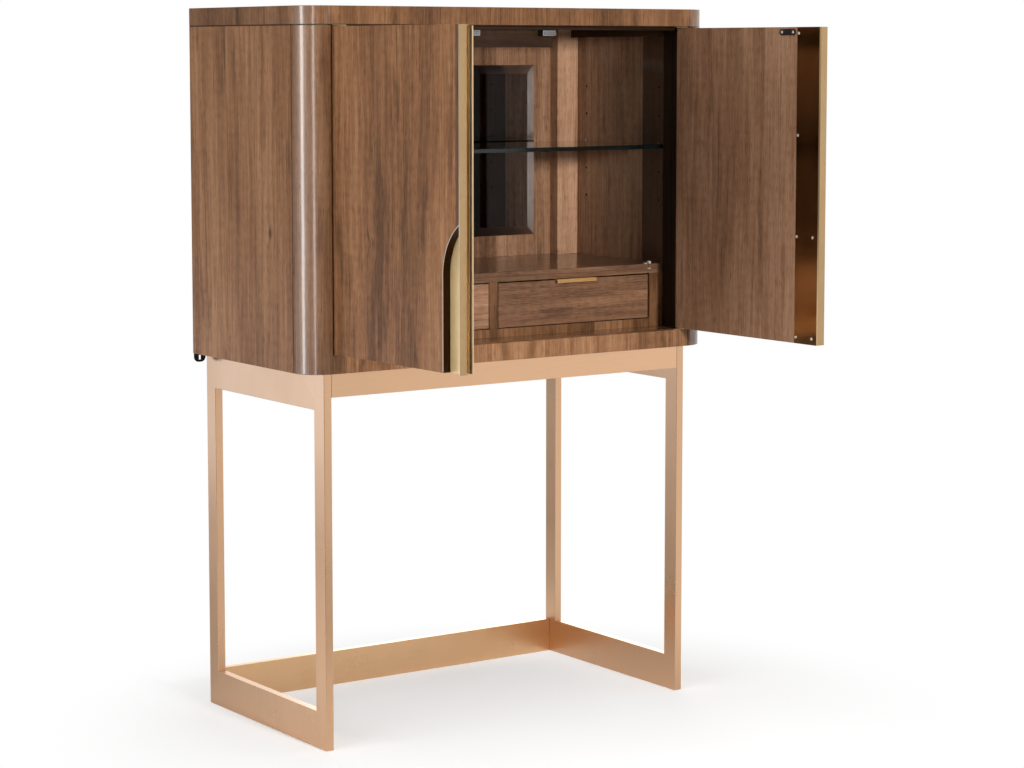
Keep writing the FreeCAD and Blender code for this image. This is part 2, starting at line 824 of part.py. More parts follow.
def make_drawer(side):
    name = f"{name_of(side)}_drawer"
    front = board(f"{name}_front", span(side, drawer_near, drawer_far), (counter_front, drawer_face_rear),
                  (drawer_low, drawer_high))
    ease_edges(front, "Fillet", f"{name}_front_edges", s.edge_round)
    add(front)
    wall = s.drawer_side_thickness
    box_y = (drawer_face_rear, drawer_rear)
    slot = (box_low + s.drawer_bottom_rise, box_low + s.drawer_bottom_rise + s.drawer_bottom_thickness)
    sides = [block(f"{name}_inner_side", span(side, box_near, box_near + wall), box_y, (box_low, box_high)),
             block(f"{name}_outer_side", span(side, box_far - wall, box_far), box_y, (box_low, box_high)),
             block(f"{name}_back", span(side, box_near + wall, box_far - wall),
                   (drawer_rear - wall, drawer_rear),
                   (slot[1], box_high))]
    add(group(f"{name}_box", sides))
    add(block(f"{name}_bottom", span(side, box_near + wall, box_far - wall), box_y, slot))
    middle = (drawer_near + drawer_far) / 2
    half = s.pull_width / 2
    x = span(side, middle - half, middle + half)
    y = counter_front - s.pull_reach
    high = drawer_high + s.pull_thickness
    top = block(f"{name}_pull_top", x, (y, counter_front + s.pull_back_reach), (drawer_high, high))
    lip = block(f"{name}_pull_lip", x, (y, y + s.pull_thickness), (high - s.pull_drop, drawer_high))
    add(fused(f"{name}_pull", [top, lip]))


# ---------------------------------------------------------------- doors, drawn about their hinge pins

door_width = opening_half - s.door_end_gap - s.door_meeting_gap
door_hinge_end = -s.hinge_inset
door_free_end = door_width - s.hinge_inset
wood_end = door_free_end - s.edge_strip_thickness
door_face = -s.hinge_inset
door_step = door_face + s.door_outer_thickness
door_back = door_face + s.door_thickness
plate_near = door_free_end - s.plate_width
recess_near = door_free_end - s.pull_recess_width
recess_spring = door_low + s.pull_recess_straight


def door_span(side, near, far):
    """A range along the door from its hinge pin, towards the middle of the cabinet."""
    return (near, far) if side < 0 else (-far, -near)


def hang(item, side):
    """Moves a door piece onto its hinge pin, swung open to its rest angle."""
    angle = s.right_door_angle if side > 0 else -s.left_door_angle
    item.Placement = FreeCAD.Placement(Vector(), Rotation(Vector(0, 0, 1), angle.value))
    bind(item, "Placement.Rotation.Angle", angle)
    place(item, hinge_x * side, hinge_y, 0)
    return add(item)


def plate_screw_spots():
    """Distance from the hinge pin and height of each screw: one column, and two more behind the arch."""
    low = door_low + s.plate_screw_end
    high = door_top - s.plate_screw_end
    heights = levels(low, high, s.plate_screw_count)
    near = [(plate_near + s.plate_screw_edge, height) for height in heights]
    far = (low, recess_spring + s.plate_far_screw_rise)
    return near + [(door_free_end - s.plate_far_screw_edge, height) for height in far]


def strike_screw_spots():
    half = s.strike_screw_spacing / 2
    return [(strike_middle - half, strike_z), (strike_middle + half, strike_z)]


strike_middle = hinge_x - s.catch_spacing / 2
strike_z = door_top - s.strike_top_inset


def screw_end(spot):
    """How deep a screw goes: into the outer board, or only through the tray's floor behind the arch."""
    return door_back - s.plate_screw_shank if keeps_wood(spot) else door_step - s.tray_floor


def door_screws(side):
    """Round-headed screws: two columns in the inner plate and two screws in the strike plate."""
    name = name_of(side)
    screws = []
    seats = [(spot, door_back) for spot in plate_screw_spots()]
    seats += [(spot, door_back + s.strike_thickness) for spot in strike_screw_spots()]
    for number, (spot, seat) in enumerate(seats):
        centre = (spot[0] * -side, spot[1])
        head = rod(f"{name}_screw_head_{number}", "y", seat, seat + s.plate_screw_cap, centre,
                   s.plate_screw_radius)
        shank = rod(f"{name}_screw_shank_{number}", "y", screw_end(spot), seat, centre,
                    s.plate_screw_shank_radius)
        screws.append(fused(f"{name}_screw_{number}", [head, shank]))
    return screws


def screw_holes(label, side, spots):
    """The holes that the screws' shanks pass through."""
    high = door_back + s.strike_thickness + OVERRUN
    return [rod(f"{label}_{number}", "y", screw_end(spot), high, (spot[0] * -side, spot[1]),
                s.plate_screw_shank_radius) for number, spot in enumerate(spots)]


def pin_holes(label, side):
    """Blind holes for the hinge pins in the ends of the door."""
    radius = s.hinge_pin_radius + s.hinge_clearance
    reach = s.hinge_pin_reach
    return [rod(f"{label}_low", "z", door_low - OVERRUN, door_low + reach, (0, 0), radius),
            rod(f"{label}_high", "z", door_top - reach, door_top + OVERRUN, (0, 0), radius)]


def make_door_panel(side):
    """The outer layer: a board with a tall arch cut through it beside the free edge for the pull."""
    label = f"{name_of(side)}_door_panel"
    body = board(f"{label}_board", door_span(side, door_hinge_end, wood_end), (door_face, door_step),
                 (door_low, door_top))
    hinge_end = door_hinge_end.value
    ease_edges(body, "Fillet", f"{label}_hinge_edge", s.door_edge_round,
               lambda edge: is_along(edge, "z") and abs(abs(edge.BoundBox.Center.x) + hinge_end) < CLOSE
               and edge.BoundBox.Center.y < door_step.value - CLOSE)
    doc.recompute()
    sketch = new_sketch(body, f"{label}_arch", "XZ_Plane", -door_face + OVERRUN)
    near, far = (recess_near, door_free_end) if side < 0 else (-recess_near, -door_free_end)
    tangent_outline(sketch, near, far, door_low - OVERRUN, recess_spring, s.pull_recess_radius)
    pocket(body, f"{label}_arch_cut", sketch, s.door_outer_thickness + OVERRUN * 2)
    spots = [spot for spot in plate_screw_spots() if keeps_wood(spot)] + strike_screw_spots()
    holes = group(f"{label}_holes",
                  screw_holes(f"{label}_screw_hole", side, spots) + pin_holes(f"{label}_pin", side))
    hang(cut(label, body, holes), side)


def keeps_wood(spot):
    """Whether a screw in the inner plate has the outer board behind it, and not the open arch."""
    reach, z = (as_size(number).value for number in spot)
    margin = s.plate_screw_radius.value
    return reach < recess_near.value - margin or z > arch_top() + margin


def arch_top():
    radius = s.pull_recess_radius.value
    side = radius - s.pull_recess_width.value
    return recess_spring.value + math.sqrt(radius ** 2 - side ** 2)


def make_inner_panel(side):
    label = f"{name_of(side)}_door_inner_panel"
    base = board(f"{label}_board", door_span(side, door_hinge_end, plate_near), (door_step, door_back),
                 (door_low, door_top))
    holes = group(f"{label}_holes", screw_holes(f"{label}_screw_hole", side, strike_screw_spots()))
    hang(cut(label, base, holes), side)


def make_edge_strip(side):
    """The full-height metal strip along the free edge, which stands free in front of the arch."""
    label = f"{name_of(side)}_door_edge_strip"
    body = board(label, door_span(side, wood_end, door_free_end), (door_face, door_step),
                 (door_low, door_top))
    hang(body, side)


def make_pull_tray(side):
    """The sheet metal lining of the arch: a floor, and a wall that follows the cut in the wood."""
    label = f"{name_of(side)}_door_pull_tray"
    body = new_body(f"{label}_shell")
    outline = new_sketch(body, f"{label}_outline", "XZ_Plane", -door_step)
    outer = recess_near + s.tray_fit
    radius = s.pull_recess_radius - s.tray_fit
    far = wood_end
    sign = -side
    tangent_outline(outline, outer * sign, far * sign, door_low, recess_spring, radius)
    pad(body, f"{label}_pad", outline, s.door_outer_thickness)
    inside = new_sketch(body, f"{label}_inside", "XZ_Plane", -door_face + OVERRUN)
    inner = outer + s.tray_wall
    tangent_outline(inside, inner * sign, (far + OVERRUN) * sign, door_low - OVERRUN, recess_spring,
                    radius - s.tray_wall)
    pocket(body, f"{label}_hollow", inside, s.door_outer_thickness + OVERRUN - s.tray_floor)
    spots = [spot for spot in plate_screw_spots() if not keeps_wood(spot)]
    holes = group(f"{label}_holes", screw_holes(f"{label}_screw_hole", side, spots))
    hang(cut(label, body, holes), side)


def make_inner_plate(side):
    """The metal plate behind the pull, screwed on from inside."""
    label = f"{name_of(side)}_door_inner_plate"
    base = board(f"{label}_blank", door_span(side, plate_near, door_free_end), (door_step, door_back),
                 (door_low, door_top))
    holes = group(f"{label}_holes", screw_holes(f"{label}_hole", side, plate_screw_spots()))
    hang(cut(label, base, holes), side)


def make_strike_plate(side):
    """A dark plate with round ends that the magnetic catch holds."""
    label = f"{name_of(side)}_door_strike_plate"
    half = s.strike_length / 2
    body = board(f"{label}_blank", door_span(side, strike_middle - half, strike_middle + half),
                 (door_back, door_back + s.strike_thickness),
                 (strike_z - s.strike_height / 2, strike_z + s.strike_height / 2))
    ease_edges(body, "Fillet", f"{label}_ends", s.strike_height / 2 - s.strike_end_flat,
               lambda edge: is_along(edge, "y"))
    holes = group(f"{label}_holes", screw_holes(f"{label}_hole", side, strike_screw_spots()))
    hang(cut(label, body, holes), side)


def make_hinge_leaves(side):
    """The leaves of the knife hinges, on the door's ends, bored for the case's pins."""
    label = f"{name_of(side)}_door_hinge_leaves"
    half = s.hinge_leaf_width / 2
    radius = s.hinge_pin_radius + s.hinge_clearance
    leaves = []
    for level, low in (("low", door_low - s.hinge_leaf_thickness), ("high", door_top)):
        z = (low, low + s.hinge_leaf_thickness)
        plate = block(f"{label}_{level}_plate", door_span(side, -half, s.door_leaf_length - half),
                      (-half, half), z)
        bore = rod(f"{label}_{level}_bore", "z", z[0] - OVERRUN, z[1] + OVERRUN, (0, 0), radius)
        leaves.append(cut(f"{label}_{level}", plate, bore))
    hang(group(label, leaves), side)


def make_astragal():
    """The bar on the left door that covers the gap between the doors from inside."""
    label = "left_door_astragal"
    z = (door_low + s.astragal_end_inset, door_top - s.astragal_end_inset)
    thick = s.astragal_thickness + s.astragal_step
    bar = board(f"{label}_bar", (door_free_end - s.astragal_hold, door_free_end + s.astragal_reach),
                (door_back, door_back + thick), z)
    step = block(f"{label}_step", (door_free_end, door_free_end + s.astragal_reach + OVERRUN),
                 (door_back - OVERRUN, door_back + s.astragal_step), (z[0] - OVERRUN, z[1] + OVERRUN))
    plate_middle = plate_near.value + s.plate_width.value / 2
    spots = [spot for spot in plate_screw_spots() if spot[0].value > plate_middle]
    holes = [rod(f"{label}_hole_{number}", "y", door_back - OVERRUN, door_back + thick + OVERRUN, spot,
                 s.plate_screw_radius + s.astragal_hole_gap) for number, spot in enumerate(spots)]
    hang(cut(label, bar, group(f"{label}_cuts", [step, *holes])), -1)


def make_door(side):
    make_door_panel(side)
    make_inner_panel(side)
    make_edge_strip(side)
    make_pull_tray(side)
    make_inner_plate(side)
    hang(group(f"{name_of(side)}_door_screws", door_screws(side)), side)
    make_strike_plate(side)
    make_hinge_leaves(side)


def make_case_hinges():
    """The fixed leaves of the knife hinges, in the gaps above and below the doors, with their pins."""
    leaves = []
    half = s.hinge_leaf_width / 2
    for side in (-1, 1):
        for level in ("low", "high"):
            name = f"case_hinge_{name_of(side)}_{level}"
            if level == "low":
                z = (floor_top, floor_top + s.hinge_leaf_thickness)
                pin_z = (floor_top, door_low + s.hinge_pin_reach - s.hinge_pin_end_gap)
            else:
                z = (case_top - s.hinge_leaf_thickness, case_top)
                pin_z = (door_top - s.hinge_pin_reach + s.hinge_pin_end_gap, case_top)
            far = hinge_x + half
            plate = block(f"{name}_plate", span(side, far - s.case_leaf_length, far),
                          (hinge_y - half, hinge_y + half), z)
            pin = rod(f"{name}_pin", "z", *pin_z, (hinge_x * side, hinge_y), s.hinge_pin_radius)
            leaves.append(fused(name, [plate, pin]))
    add(group("case_hinge_leaves", leaves))


# ---------------------------------------------------------------- stand

def make_side_frame(side):
    """A closed frame of flat bar: two legs, a top rail and a floor rail."""
    label = f"stand_{name_of(side)}_frame"
    body = new_body(label)
    outer = new_sketch(body, f"{label}_outer", "YZ_Plane", bar_inner if side > 0 else -stand_half)
    draw_rectangle(outer, (stand_front, base_rear), (as_size(0), s.stand_height))
    pad(body, f"{label}_bar", outer, s.bar_thickness)
    window = new_sketch(body, f"{label}_window", "YZ_Plane",
                        (bar_inner if side > 0 else -stand_half) - OVERRUN)
    draw_rectangle(window, (stand_front + s.front_leg_depth, base_rear - s.rear_leg_depth),
                   (s.foot_rail_height, s.stand_height - s.side_rail_height))
    pocket(body, f"{label}_window_cut", window, s.bar_thickness + OVERRUN * 2, backwards=True)
    ease_edges(body, "Fillet", f"{label}_edges", s.edge_round)
    add(body)


def make_cross_rails():
    x = (-bar_inner, bar_inner)
    z = (s.stand_height - s.apron_height, s.stand_height)
    add(block("stand_front_apron", x, (stand_front, stand_front + s.apron_thickness), z))
    add(block("stand_back_apron", x, (base_rear - s.apron_thickness, base_rear), z))
    add(block("stand_back_floor_rail", x, (base_rear - s.back_rail_thickness, base_rear),
              (as_size(0), s.foot_rail_height)))


def mount_corners():
    """The inner corner of each mounting plate: its side, the Y of the apron it joins and its direction."""
    front = stand_front + s.apron_thickness
    rear = base_rear - s.apron_thickness
    return [(side, y, way) for side in (-1, 1) for y, way in ((front, 1), (rear, -1))]


def mount_screw_spots(side, y, way):
    """The two screws of a mounting plate, which have to reach the case's floor."""
    near = bar_inner - s.mount_plate_size / 2
    inset = s.mount_screw_inset if way > 0 else s.mount_screw_inset + s.stand_rear_reach
    first = y + inset * way
    return [(near * side, first), ((near - s.mount_screw_step) * side, first + s.mount_screw_offset * way)]


def all_mount_spots():
    return [spot for corner in mount_corners() for spot in mount_screw_spots(*corner)]


def make_mount_plates():
    """Plates in the top corners of the stand that the case is screwed down through."""
    plates = []
    for number, (side, y, way) in enumerate(mount_corners()):
        reach = s.mount_plate_size if way > 0 else s.mount_plate_size + s.stand_rear_reach
        ends = (y, y + reach) if way > 0 else (y - reach, y)
        plate = block(f"mount_plate_{number}", span(side, bar_inner - s.mount_plate_size, bar_inner), ends,
                      (s.stand_height - s.mount_plate_thickness, s.stand_height))
        holes = [rod(f"mount_hole_{number}_{step}", "z", s.stand_height - s.mount_plate_thickness - OVERRUN,
                     s.stand_height + OVERRUN, spot, s.case_screw_radius + s.case_screw_clearance)
                 for step, spot in enumerate(mount_screw_spots(side, y, way))]
        plates.append(cut(f"mount_plate_{number}_drilled", plate, group(f"mount_holes_{number}", holes)))
    add(group("stand_mount_plates", plates))


# ---------------------------------------------------------------- fixings and tabs

def make_case_screws():
    """The back panel's screws, which bite into the liners, and the stand's, into the case's floor."""
    seat = case_rear + s.back_thickness
    tip = case_rear - s.case_screw_bite
    screws = []
    for number, spot in enumerate(back_screw_spots(-1) + back_screw_spots(1)):
        head = rod(f"back_screw_head_{number}", "y", seat, seat + s.case_screw_head, spot,
                   s.case_screw_head_radius)
        shank = rod(f"back_screw_shank_{number}", "y", tip, seat, spot, s.case_screw_radius)
        screws.append(fused(f"back_screw_{number}", [head, shank]))
    low = s.stand_height - s.mount_plate_thickness
    for number, spot in enumerate(all_mount_spots()):
        name = f"mount_screw_{number}"
        head = rod(f"{name}_head", "z", low - s.case_screw_head, low, spot, s.case_screw_head_radius)
        shank = rod(f"{name}_shank", "z", low, case_low + s.case_screw_bite, spot, s.case_screw_radius)
        screws.append(fused(name, [head, shank]))
    add(group("case_screws", screws))


def make_tip_tabs():
    """Black tabs with a slot, on the lower corners of the back panel, for an anti-tip strap."""
    far = half_width - s.back_side_inset
    near = far - s.tab_width
    y = case_rear + s.back_thickness
    low = case_low - s.tab_drop
    high = low + s.tab_height
    tabs = []
    for side in (-1, 1):
        name = f"tip_tab_{name_of(side)}"
        body = new_body(name)
        outline = new_sketch(body, f"{name}_outline", "XZ_Plane", -y)
        draw_rectangle(outline, span(side, near, far), (low, high))
        pad(body, f"{name}_pad", outline, s.tab_thickness, backwards=True)
        slot = new_sketch(body, f"{name}_slot", "XZ_Plane", -y)
        middle = (near + far) / 2
        half = s.tab_slot_width / 2
        foot = low + s.tab_slot_width
        draw_rectangle(slot, span(side, middle - half, middle + half), (foot, foot + s.tab_slot_height))
        pocket(body, f"{name}_slot_cut", slot, s.tab_thickness + OVERRUN)
        tabs.append(body)
    add(group("tip_tabs", tabs))


# ---------------------------------------------------------------- build

def make_all():
    make_top_panel()
    for side in (-1, 1):
        make_corner_post(side)
        make_side_panel(side)
        make_liner_panel(side)
    make_floor()
    make_backs()
    make_mirror()
    make_top_strips()
    make_catches()
    make_glass_shelf()
    make_shelf_clips()
    make_counter()
    make_leaf_hinges()
    make_fold_leaf()
    make_drawer_frame()
    make_runners()
    for side in (-1, 1):
        make_drawer(side)
        make_door(side)
        make_side_frame(side)
    make_astragal()
    make_case_hinges()
    make_cross_rails()
    make_mount_plates()
    make_case_screws()
    make_tip_tabs()


def check_all():
    """Stops if any object of the document failed, or a sub-part has no sound shape."""
    for item in doc.Objects:
        if "Invalid" in item.State or "Error" in item.State:
            raise RuntimeError(f"{item.Label} failed: {item.State}")
    for item in nodes:
        if item.Shape.isNull() or not item.Shape.isValid():
            raise RuntimeError(f"{item.Label} has no valid shape")


make_all()
doc.recompute()
check_all()
for item in nodes:
    item.Shape.exportStep(f"parts/{item.Label}.step")
print(f"{len(nodes)} sub-parts written")
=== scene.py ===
"""The looks of the bar cabinet: materials, eased edges, light and camera.

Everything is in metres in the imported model's frame: +Z is up and the doors face -Y. Every CAD node is
replaced by a finer piece of the same form, which rides on the node's own body.
"""

import json
import math

import bmesh
import bpy
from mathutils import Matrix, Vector


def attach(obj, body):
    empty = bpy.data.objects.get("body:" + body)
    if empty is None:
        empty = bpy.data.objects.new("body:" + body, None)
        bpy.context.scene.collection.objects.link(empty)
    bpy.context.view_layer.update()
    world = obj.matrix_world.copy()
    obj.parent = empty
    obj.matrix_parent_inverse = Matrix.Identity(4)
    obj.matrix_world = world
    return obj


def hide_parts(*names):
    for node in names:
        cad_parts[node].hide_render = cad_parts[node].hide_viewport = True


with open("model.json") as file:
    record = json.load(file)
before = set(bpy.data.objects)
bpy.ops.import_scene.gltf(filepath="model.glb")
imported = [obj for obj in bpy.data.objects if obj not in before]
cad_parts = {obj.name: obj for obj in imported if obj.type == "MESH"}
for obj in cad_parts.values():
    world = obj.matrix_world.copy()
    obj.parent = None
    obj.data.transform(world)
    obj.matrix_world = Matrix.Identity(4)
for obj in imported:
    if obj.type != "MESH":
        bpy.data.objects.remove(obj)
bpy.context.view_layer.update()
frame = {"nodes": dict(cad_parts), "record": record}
nodes = frame["nodes"]
record = frame["record"]
body_of_node = {node: body for body, members in record["behaviour"]["bodies"].items() for node in members}


# ---------------------------------------------------------------- node helpers

class Nodes:
    """Short calls for building one node tree."""

    def __init__(self, tree, output_kind):
        self.tree = tree
        self.tree.nodes.clear()
        self.output = self.tree.nodes.new(output_kind)

    def add(self, kind, inputs=None, **settings):
        node = self.tree.nodes.new(kind)
        for key, value in settings.items():
            setattr(node, key, value)
        for key, value in (inputs or {}).items():
            self.feed(node.inputs[key], value)
        return node

    def feed(self, socket, value):
        if isinstance(value, bpy.types.NodeSocket):
            self.tree.links.new(value, socket)
        else:
            socket.default_value = value

    def math(self, operation, a, b=None, c=None, clamp=False):
        node = self.add("ShaderNodeMath", operation=operation, use_clamp=clamp)
        for socket, value in zip(node.inputs, (a, b, c)):
            if value is not None:
                self.feed(socket, value)
        return node.outputs[0]

    def vector(self, operation, a, b=None):
        node = self.add("ShaderNodeVectorMath", operation=operation)
        self.feed(node.inputs[0], a)
        if b is not None:
            self.feed(node.inputs[1], b)
        return node.outputs["Value" if operation in ("LENGTH", "DOT_PRODUCT") else "Vector"]

    def coords(self):
        """The place on the piece at rest, in metres."""
        return self.add("ShaderNodeTexCoord").outputs["Object"]

    def noise(self, vector, scale, detail=2.0, rough=0.5, distortion=0.0):
        sockets = {"Vector": vector, "Scale": scale, "Detail": detail, "Roughness": rough,
                   "Distortion": distortion}
        return self.add("ShaderNodeTexNoise", sockets).outputs["Fac"]

    def remap(self, value, low, high, to_low=0.0, to_high=1.0, smooth=False):
        sockets = {"Value": value, "From Min": low, "From Max": high, "To Min": to_low, "To Max": to_high}
        kind = "SMOOTHSTEP" if smooth else "LINEAR"
        return self.add("ShaderNodeMapRange", sockets, interpolation_type=kind, clamp=True).outputs["Result"]

    def ramp(self, value, stops):
        node = self.add("ShaderNodeValToRGB", {"Fac": value})
        band = node.color_ramp
        while len(band.elements) < len(stops):
            band.elements.new(0.5)
        for element, (place, color) in zip(band.elements, stops):
            element.position = place
            element.color = (*color, 1)
        return node.outputs["Color"]

    def mix(self, factor, a, b, blend="MIX"):
        node = self.add("ShaderNodeMix", {"Factor": factor}, data_type="RGBA", blend_type=blend)
        for key, value in (("A", a), ("B", b)):
            socket = next(s for s in node.inputs if s.name == key and s.type == "RGBA")
            self.feed(socket, value if isinstance(value, bpy.types.NodeSocket) else (*value, 1))
        return next(s for s in node.outputs if s.type == "RGBA")

    def bump(self, height, strength, distance):
        sockets = {"Height": height, "Strength": strength, "Distance": distance}
        return self.add("ShaderNodeBump", sockets).outputs[0]

    def finish(self, shader):
        self.tree.links.new(shader.outputs[0], self.output.inputs["Surface"])


class MaterialNodes(Nodes):
    """The node tree of one new material."""

    def __init__(self, name):
        self.material = bpy.data.materials.new(name)
        self.material.use_nodes = True
        super().__init__(self.material.node_tree, "ShaderNodeOutputMaterial")

    def surface(self, **inputs):
        """The Principled shader; the arguments are its sockets, with underscores for spaces."""
        sockets = {key.replace("_", " "): value for key, value in inputs.items()}
        self.finish(self.add("ShaderNodeBsdfPrincipled", sockets))
        return self.material


def shade(color, amount):
    return tuple(channel * amount for channel in color)


def halfway(first, second):
    return tuple((a + b) / 2 for a, b in zip(first, second))


# ---------------------------------------------------------------- wood

WALNUT = {"dark": (0.060, 0.023, 0.009), "mid": (0.228, 0.101, 0.043), "light": (0.425, 0.222, 0.112)}
INNER_WALNUT = {"dark": (0.062, 0.026, 0.013), "mid": (0.225, 0.110, 0.058), "light": (0.415, 0.240, 0.145)}
PORE_COLOR = (0.050, 0.021, 0.011)
MAPLE = (0.44, 0.31, 0.185)

# The figure's layers are noise drawn out along the grain. Each is (stretch, shift, scale, detail, roughness),
# with the range that is spread to -1..1 for a balanced layer and to 0..1 for a mask.
BALANCED_LAYERS = {
    "broad": ((0.10, 0.0, 15.0, 3.0, 0.55), 0.30, 0.70),
    "streaks": ((0.018, 3.0, 105.0, 4.0, 0.65), 0.28, 0.72),
    "lines": ((0.012, 5.0, 520.0, 3.0, 0.65), 0.28, 0.72),
    "ripple": ((1.0, 13.0, 60.0, 2.0, 0.5), 0.3, 0.7),
}
MASK_LAYERS = {
    "veins": ((0.010, 4.0, 250.0, 2.0, 0.5), 0.60, 0.74),
    "smudges": ((0.20, 15.0, 30.0, 2.0, 0.5), 0.56, 0.74),
}
FIBRE = (0.03, 7.0, 1300.0, 2.0, 0.6)
PORES = (0.05, 9.0, 800.0, 1.0, 0.4)
FLAME_STRETCH, FLAME_SHIFT = 0.05, 11.0
FLAME_WAVE = {"Scale": 15.0, "Distortion": 7.0, "Detail": 2.0, "Detail Scale": 1.6}
# How much each layer lightens the wood, in the order in which they are added up.
LAYER_WEIGHTS = {"broad": 0.30, "streaks": 0.13, "lines": 0.29, "ripple": 0.07, "veins": -0.32,
                 "smudges": -0.28, "flame": 0.10, "leaf": 0.42}
FIGURE_LIFT = 0.06

FOLD_SLOPE = 0.93
WANDER_SCALE, WANDER_STRETCH, WANDER_REACH = 4.5, 0.3, 0.035
LEAF_RANDOMNESS = 0.6
LEAF_SHIFT = 3.7
SEAM_WIDTH = 0.0009
KNOT_SQUASH = 0.62
KNOT_REACH = 2.4
KNOT_SHIFT = 0.9


def bend_round_knots(n, coords, grain, across, knots):
    """Bends the figure round each (centre, radius) knot; gives the bent coordinate and the dark cores."""
    cores = None
    for centre, size in knots:
        squash = [1.0, 1.0, 1.0]
        squash["xyz".index(grain)] = KNOT_SQUASH
        gap = n.vector("MULTIPLY", n.vector("SUBTRACT", coords, centre), tuple(squash))
        reach = n.vector("LENGTH", gap)
        near = n.remap(reach, 0.0, size * KNOT_REACH, 1.0, 0.0, smooth=True)
        across = n.math("MULTIPLY_ADD", near, size * KNOT_SHIFT, across)
        core = n.remap(reach, size * 0.1, size, 1.0, 0.0, smooth=True)
        cores = core if cores is None else n.math("MAXIMUM", cores, core)
    return across, cores


def veneer_leaves(n, across, leaf_width):
    """A value of its own for every veneer leaf, and a mask of the fine seams between them."""
    sockets = {"W": across, "Scale": 1 / leaf_width, "Randomness": LEAF_RANDOMNESS}
    cells = n.add("ShaderNodeTexVoronoi", sockets, voronoi_dimensions="1D", feature="F1")
    leaf = n.add("ShaderNodeSeparateColor", {"Color": cells.outputs["Color"]}).outputs[0]
    edges = n.add("ShaderNodeTexVoronoi", sockets, voronoi_dimensions="1D", feature="DISTANCE_TO_EDGE")
    seam = n.remap(edges.outputs["Distance"], 0.0, SEAM_WIDTH / leaf_width, 1.0, 0.0)
    return leaf, seam


def wood(name, grain, offset, palette=WALNUT, tone=1.0, contrast=1.0, rough=0.45, gloss=0.16, coat=0.07,
         coat_rough=0.25, leaf_width=0.105, knots=(), fold=1, strips=()):
    """Lacquered walnut veneer in solid coordinates.

    grain is the axis it runs along, offset moves a board to wood of its own, leaf_width is the width of one
    veneer leaf across the face, fold is the sign that carries the figure round a rounded corner (0 mirrors it
    about the middle), and strips are the (axis, low, high, depth) of darker bands along edges: dark joints,
    darker lipping and a painted shadow band.
    """
    n = MaterialNodes(name)
    coords = n.coords()
    apart = n.add("ShaderNodeSeparateXYZ", {"Vector": coords})
    places = dict(zip("xyz", (apart.outputs[axis] for axis in "XYZ")))
    along = places[grain]
    first, second = [value for axis, value in places.items() if axis != grain]
    # The two directions across the grain are folded into one, so that every face shows straight grain.
    if fold == 0:
        first = n.math("ABSOLUTE", first)
    across = n.math("MULTIPLY_ADD", second, -FOLD_SLOPE if fold < 0 else FOLD_SLOPE, first)
    across = n.math("ADD", across, offset)
    across, knot_cores = bend_round_knots(n, coords, grain, across, knots)
    leaf, seam = veneer_leaves(n, across, leaf_width)
    shifted = n.math("MULTIPLY_ADD", leaf, LEAF_SHIFT, along)

    slow = n.math("MULTIPLY", shifted, WANDER_STRETCH)
    wide = n.add("ShaderNodeCombineXYZ", {"X": across, "Y": slow, "Z": offset}).outputs[0]
    wander = n.noise(wide, WANDER_SCALE)
    drawn = n.math("MULTIPLY_ADD", n.math("SUBTRACT", wander, 0.5), WANDER_REACH, across)

    def stretched(stretch, shift):
        run = n.math("MULTIPLY", shifted, stretch)
        return n.add("ShaderNodeCombineXYZ", {"X": drawn, "Y": run, "Z": offset + shift}).outputs[0]

    def drawn_noise(stretch, shift, scale, detail, roughness):
        return n.noise(stretched(stretch, shift), scale, detail, roughness)

    layers = {}
    for key, (field, low, high) in BALANCED_LAYERS.items():
        layers[key] = n.remap(drawn_noise(*field), low, high, -1.0, 1.0)
    for key, (field, low, high) in MASK_LAYERS.items():
        layers[key] = n.remap(drawn_noise(*field), low, high, smooth=True)
    flame = n.add("ShaderNodeTexWave", {"Vector": stretched(FLAME_STRETCH, FLAME_SHIFT), **FLAME_WAVE},
                  wave_type="BANDS", bands_direction="X").outputs["Fac"]
    layers["flame"] = n.math("SUBTRACT", flame, 0.5)
    layers["leaf"] = n.math("SUBTRACT", leaf, 0.5)
    value = 0.5
    for key, amount in LAYER_WEIGHTS.items():
        value = n.math("MULTIPLY_ADD", layers[key], amount * contrast, value)
    value = n.math("ADD", value, FIGURE_LIFT, clamp=True)

    dark, mid, light = (shade(palette[key], tone) for key in ("dark", "mid", "light"))
    pore = shade(PORE_COLOR, tone)
    color = n.ramp(value, [(0.0, dark), (0.25, halfway(dark, mid)), (0.5, mid), (0.75, halfway(mid, light)),
                           (1.0, light)])
    fibres = n.remap(drawn_noise(*FIBRE), 0.35, 0.70, 0.0, 0.32)
    color = n.mix(fibres, color, shade(light, 0.95))
    open_pores = n.remap(drawn_noise(*PORES), 0.60, 0.72, 0.0, 0.6, smooth=True)
    color = n.mix(open_pores, color, pore)
    color = n.mix(n.math("MULTIPLY", seam, 0.4), color, pore)
    if knot_cores is not None:
        color = n.mix(n.math("MULTIPLY", knot_cores, 0.8), color, shade(PORE_COLOR, 0.9))
    # Darker bands along edges: dark joints, darker lipping, and the painted shadow band by the jambs.
    for axis, low, high, depth in strips:
        above = n.math("GREATER_THAN", places[axis], low)
        inside = n.math("MULTIPLY", above, n.math("LESS_THAN", places[axis], high))
        color = n.mix(n.math("MULTIPLY", inside, depth), color, shade(dark, 0.6))

    height = n.math("MULTIPLY_ADD", layers["lines"], 0.2, n.math("MULTIPLY", open_pores, -1.0))
    height = n.math("MULTIPLY_ADD", seam, -0.8, height)
    sheen = n.remap(layers["streaks"], -1.0, 1.0, rough + 0.05, rough - 0.05)
    return n.surface(Base_Color=color, Roughness=sheen, Normal=n.bump(height, 0.25, 0.0001), IOR=1.5,
                     Specular_IOR_Level=gloss, Coat_Weight=coat, Coat_Roughness=coat_rough, Coat_IOR=1.5)


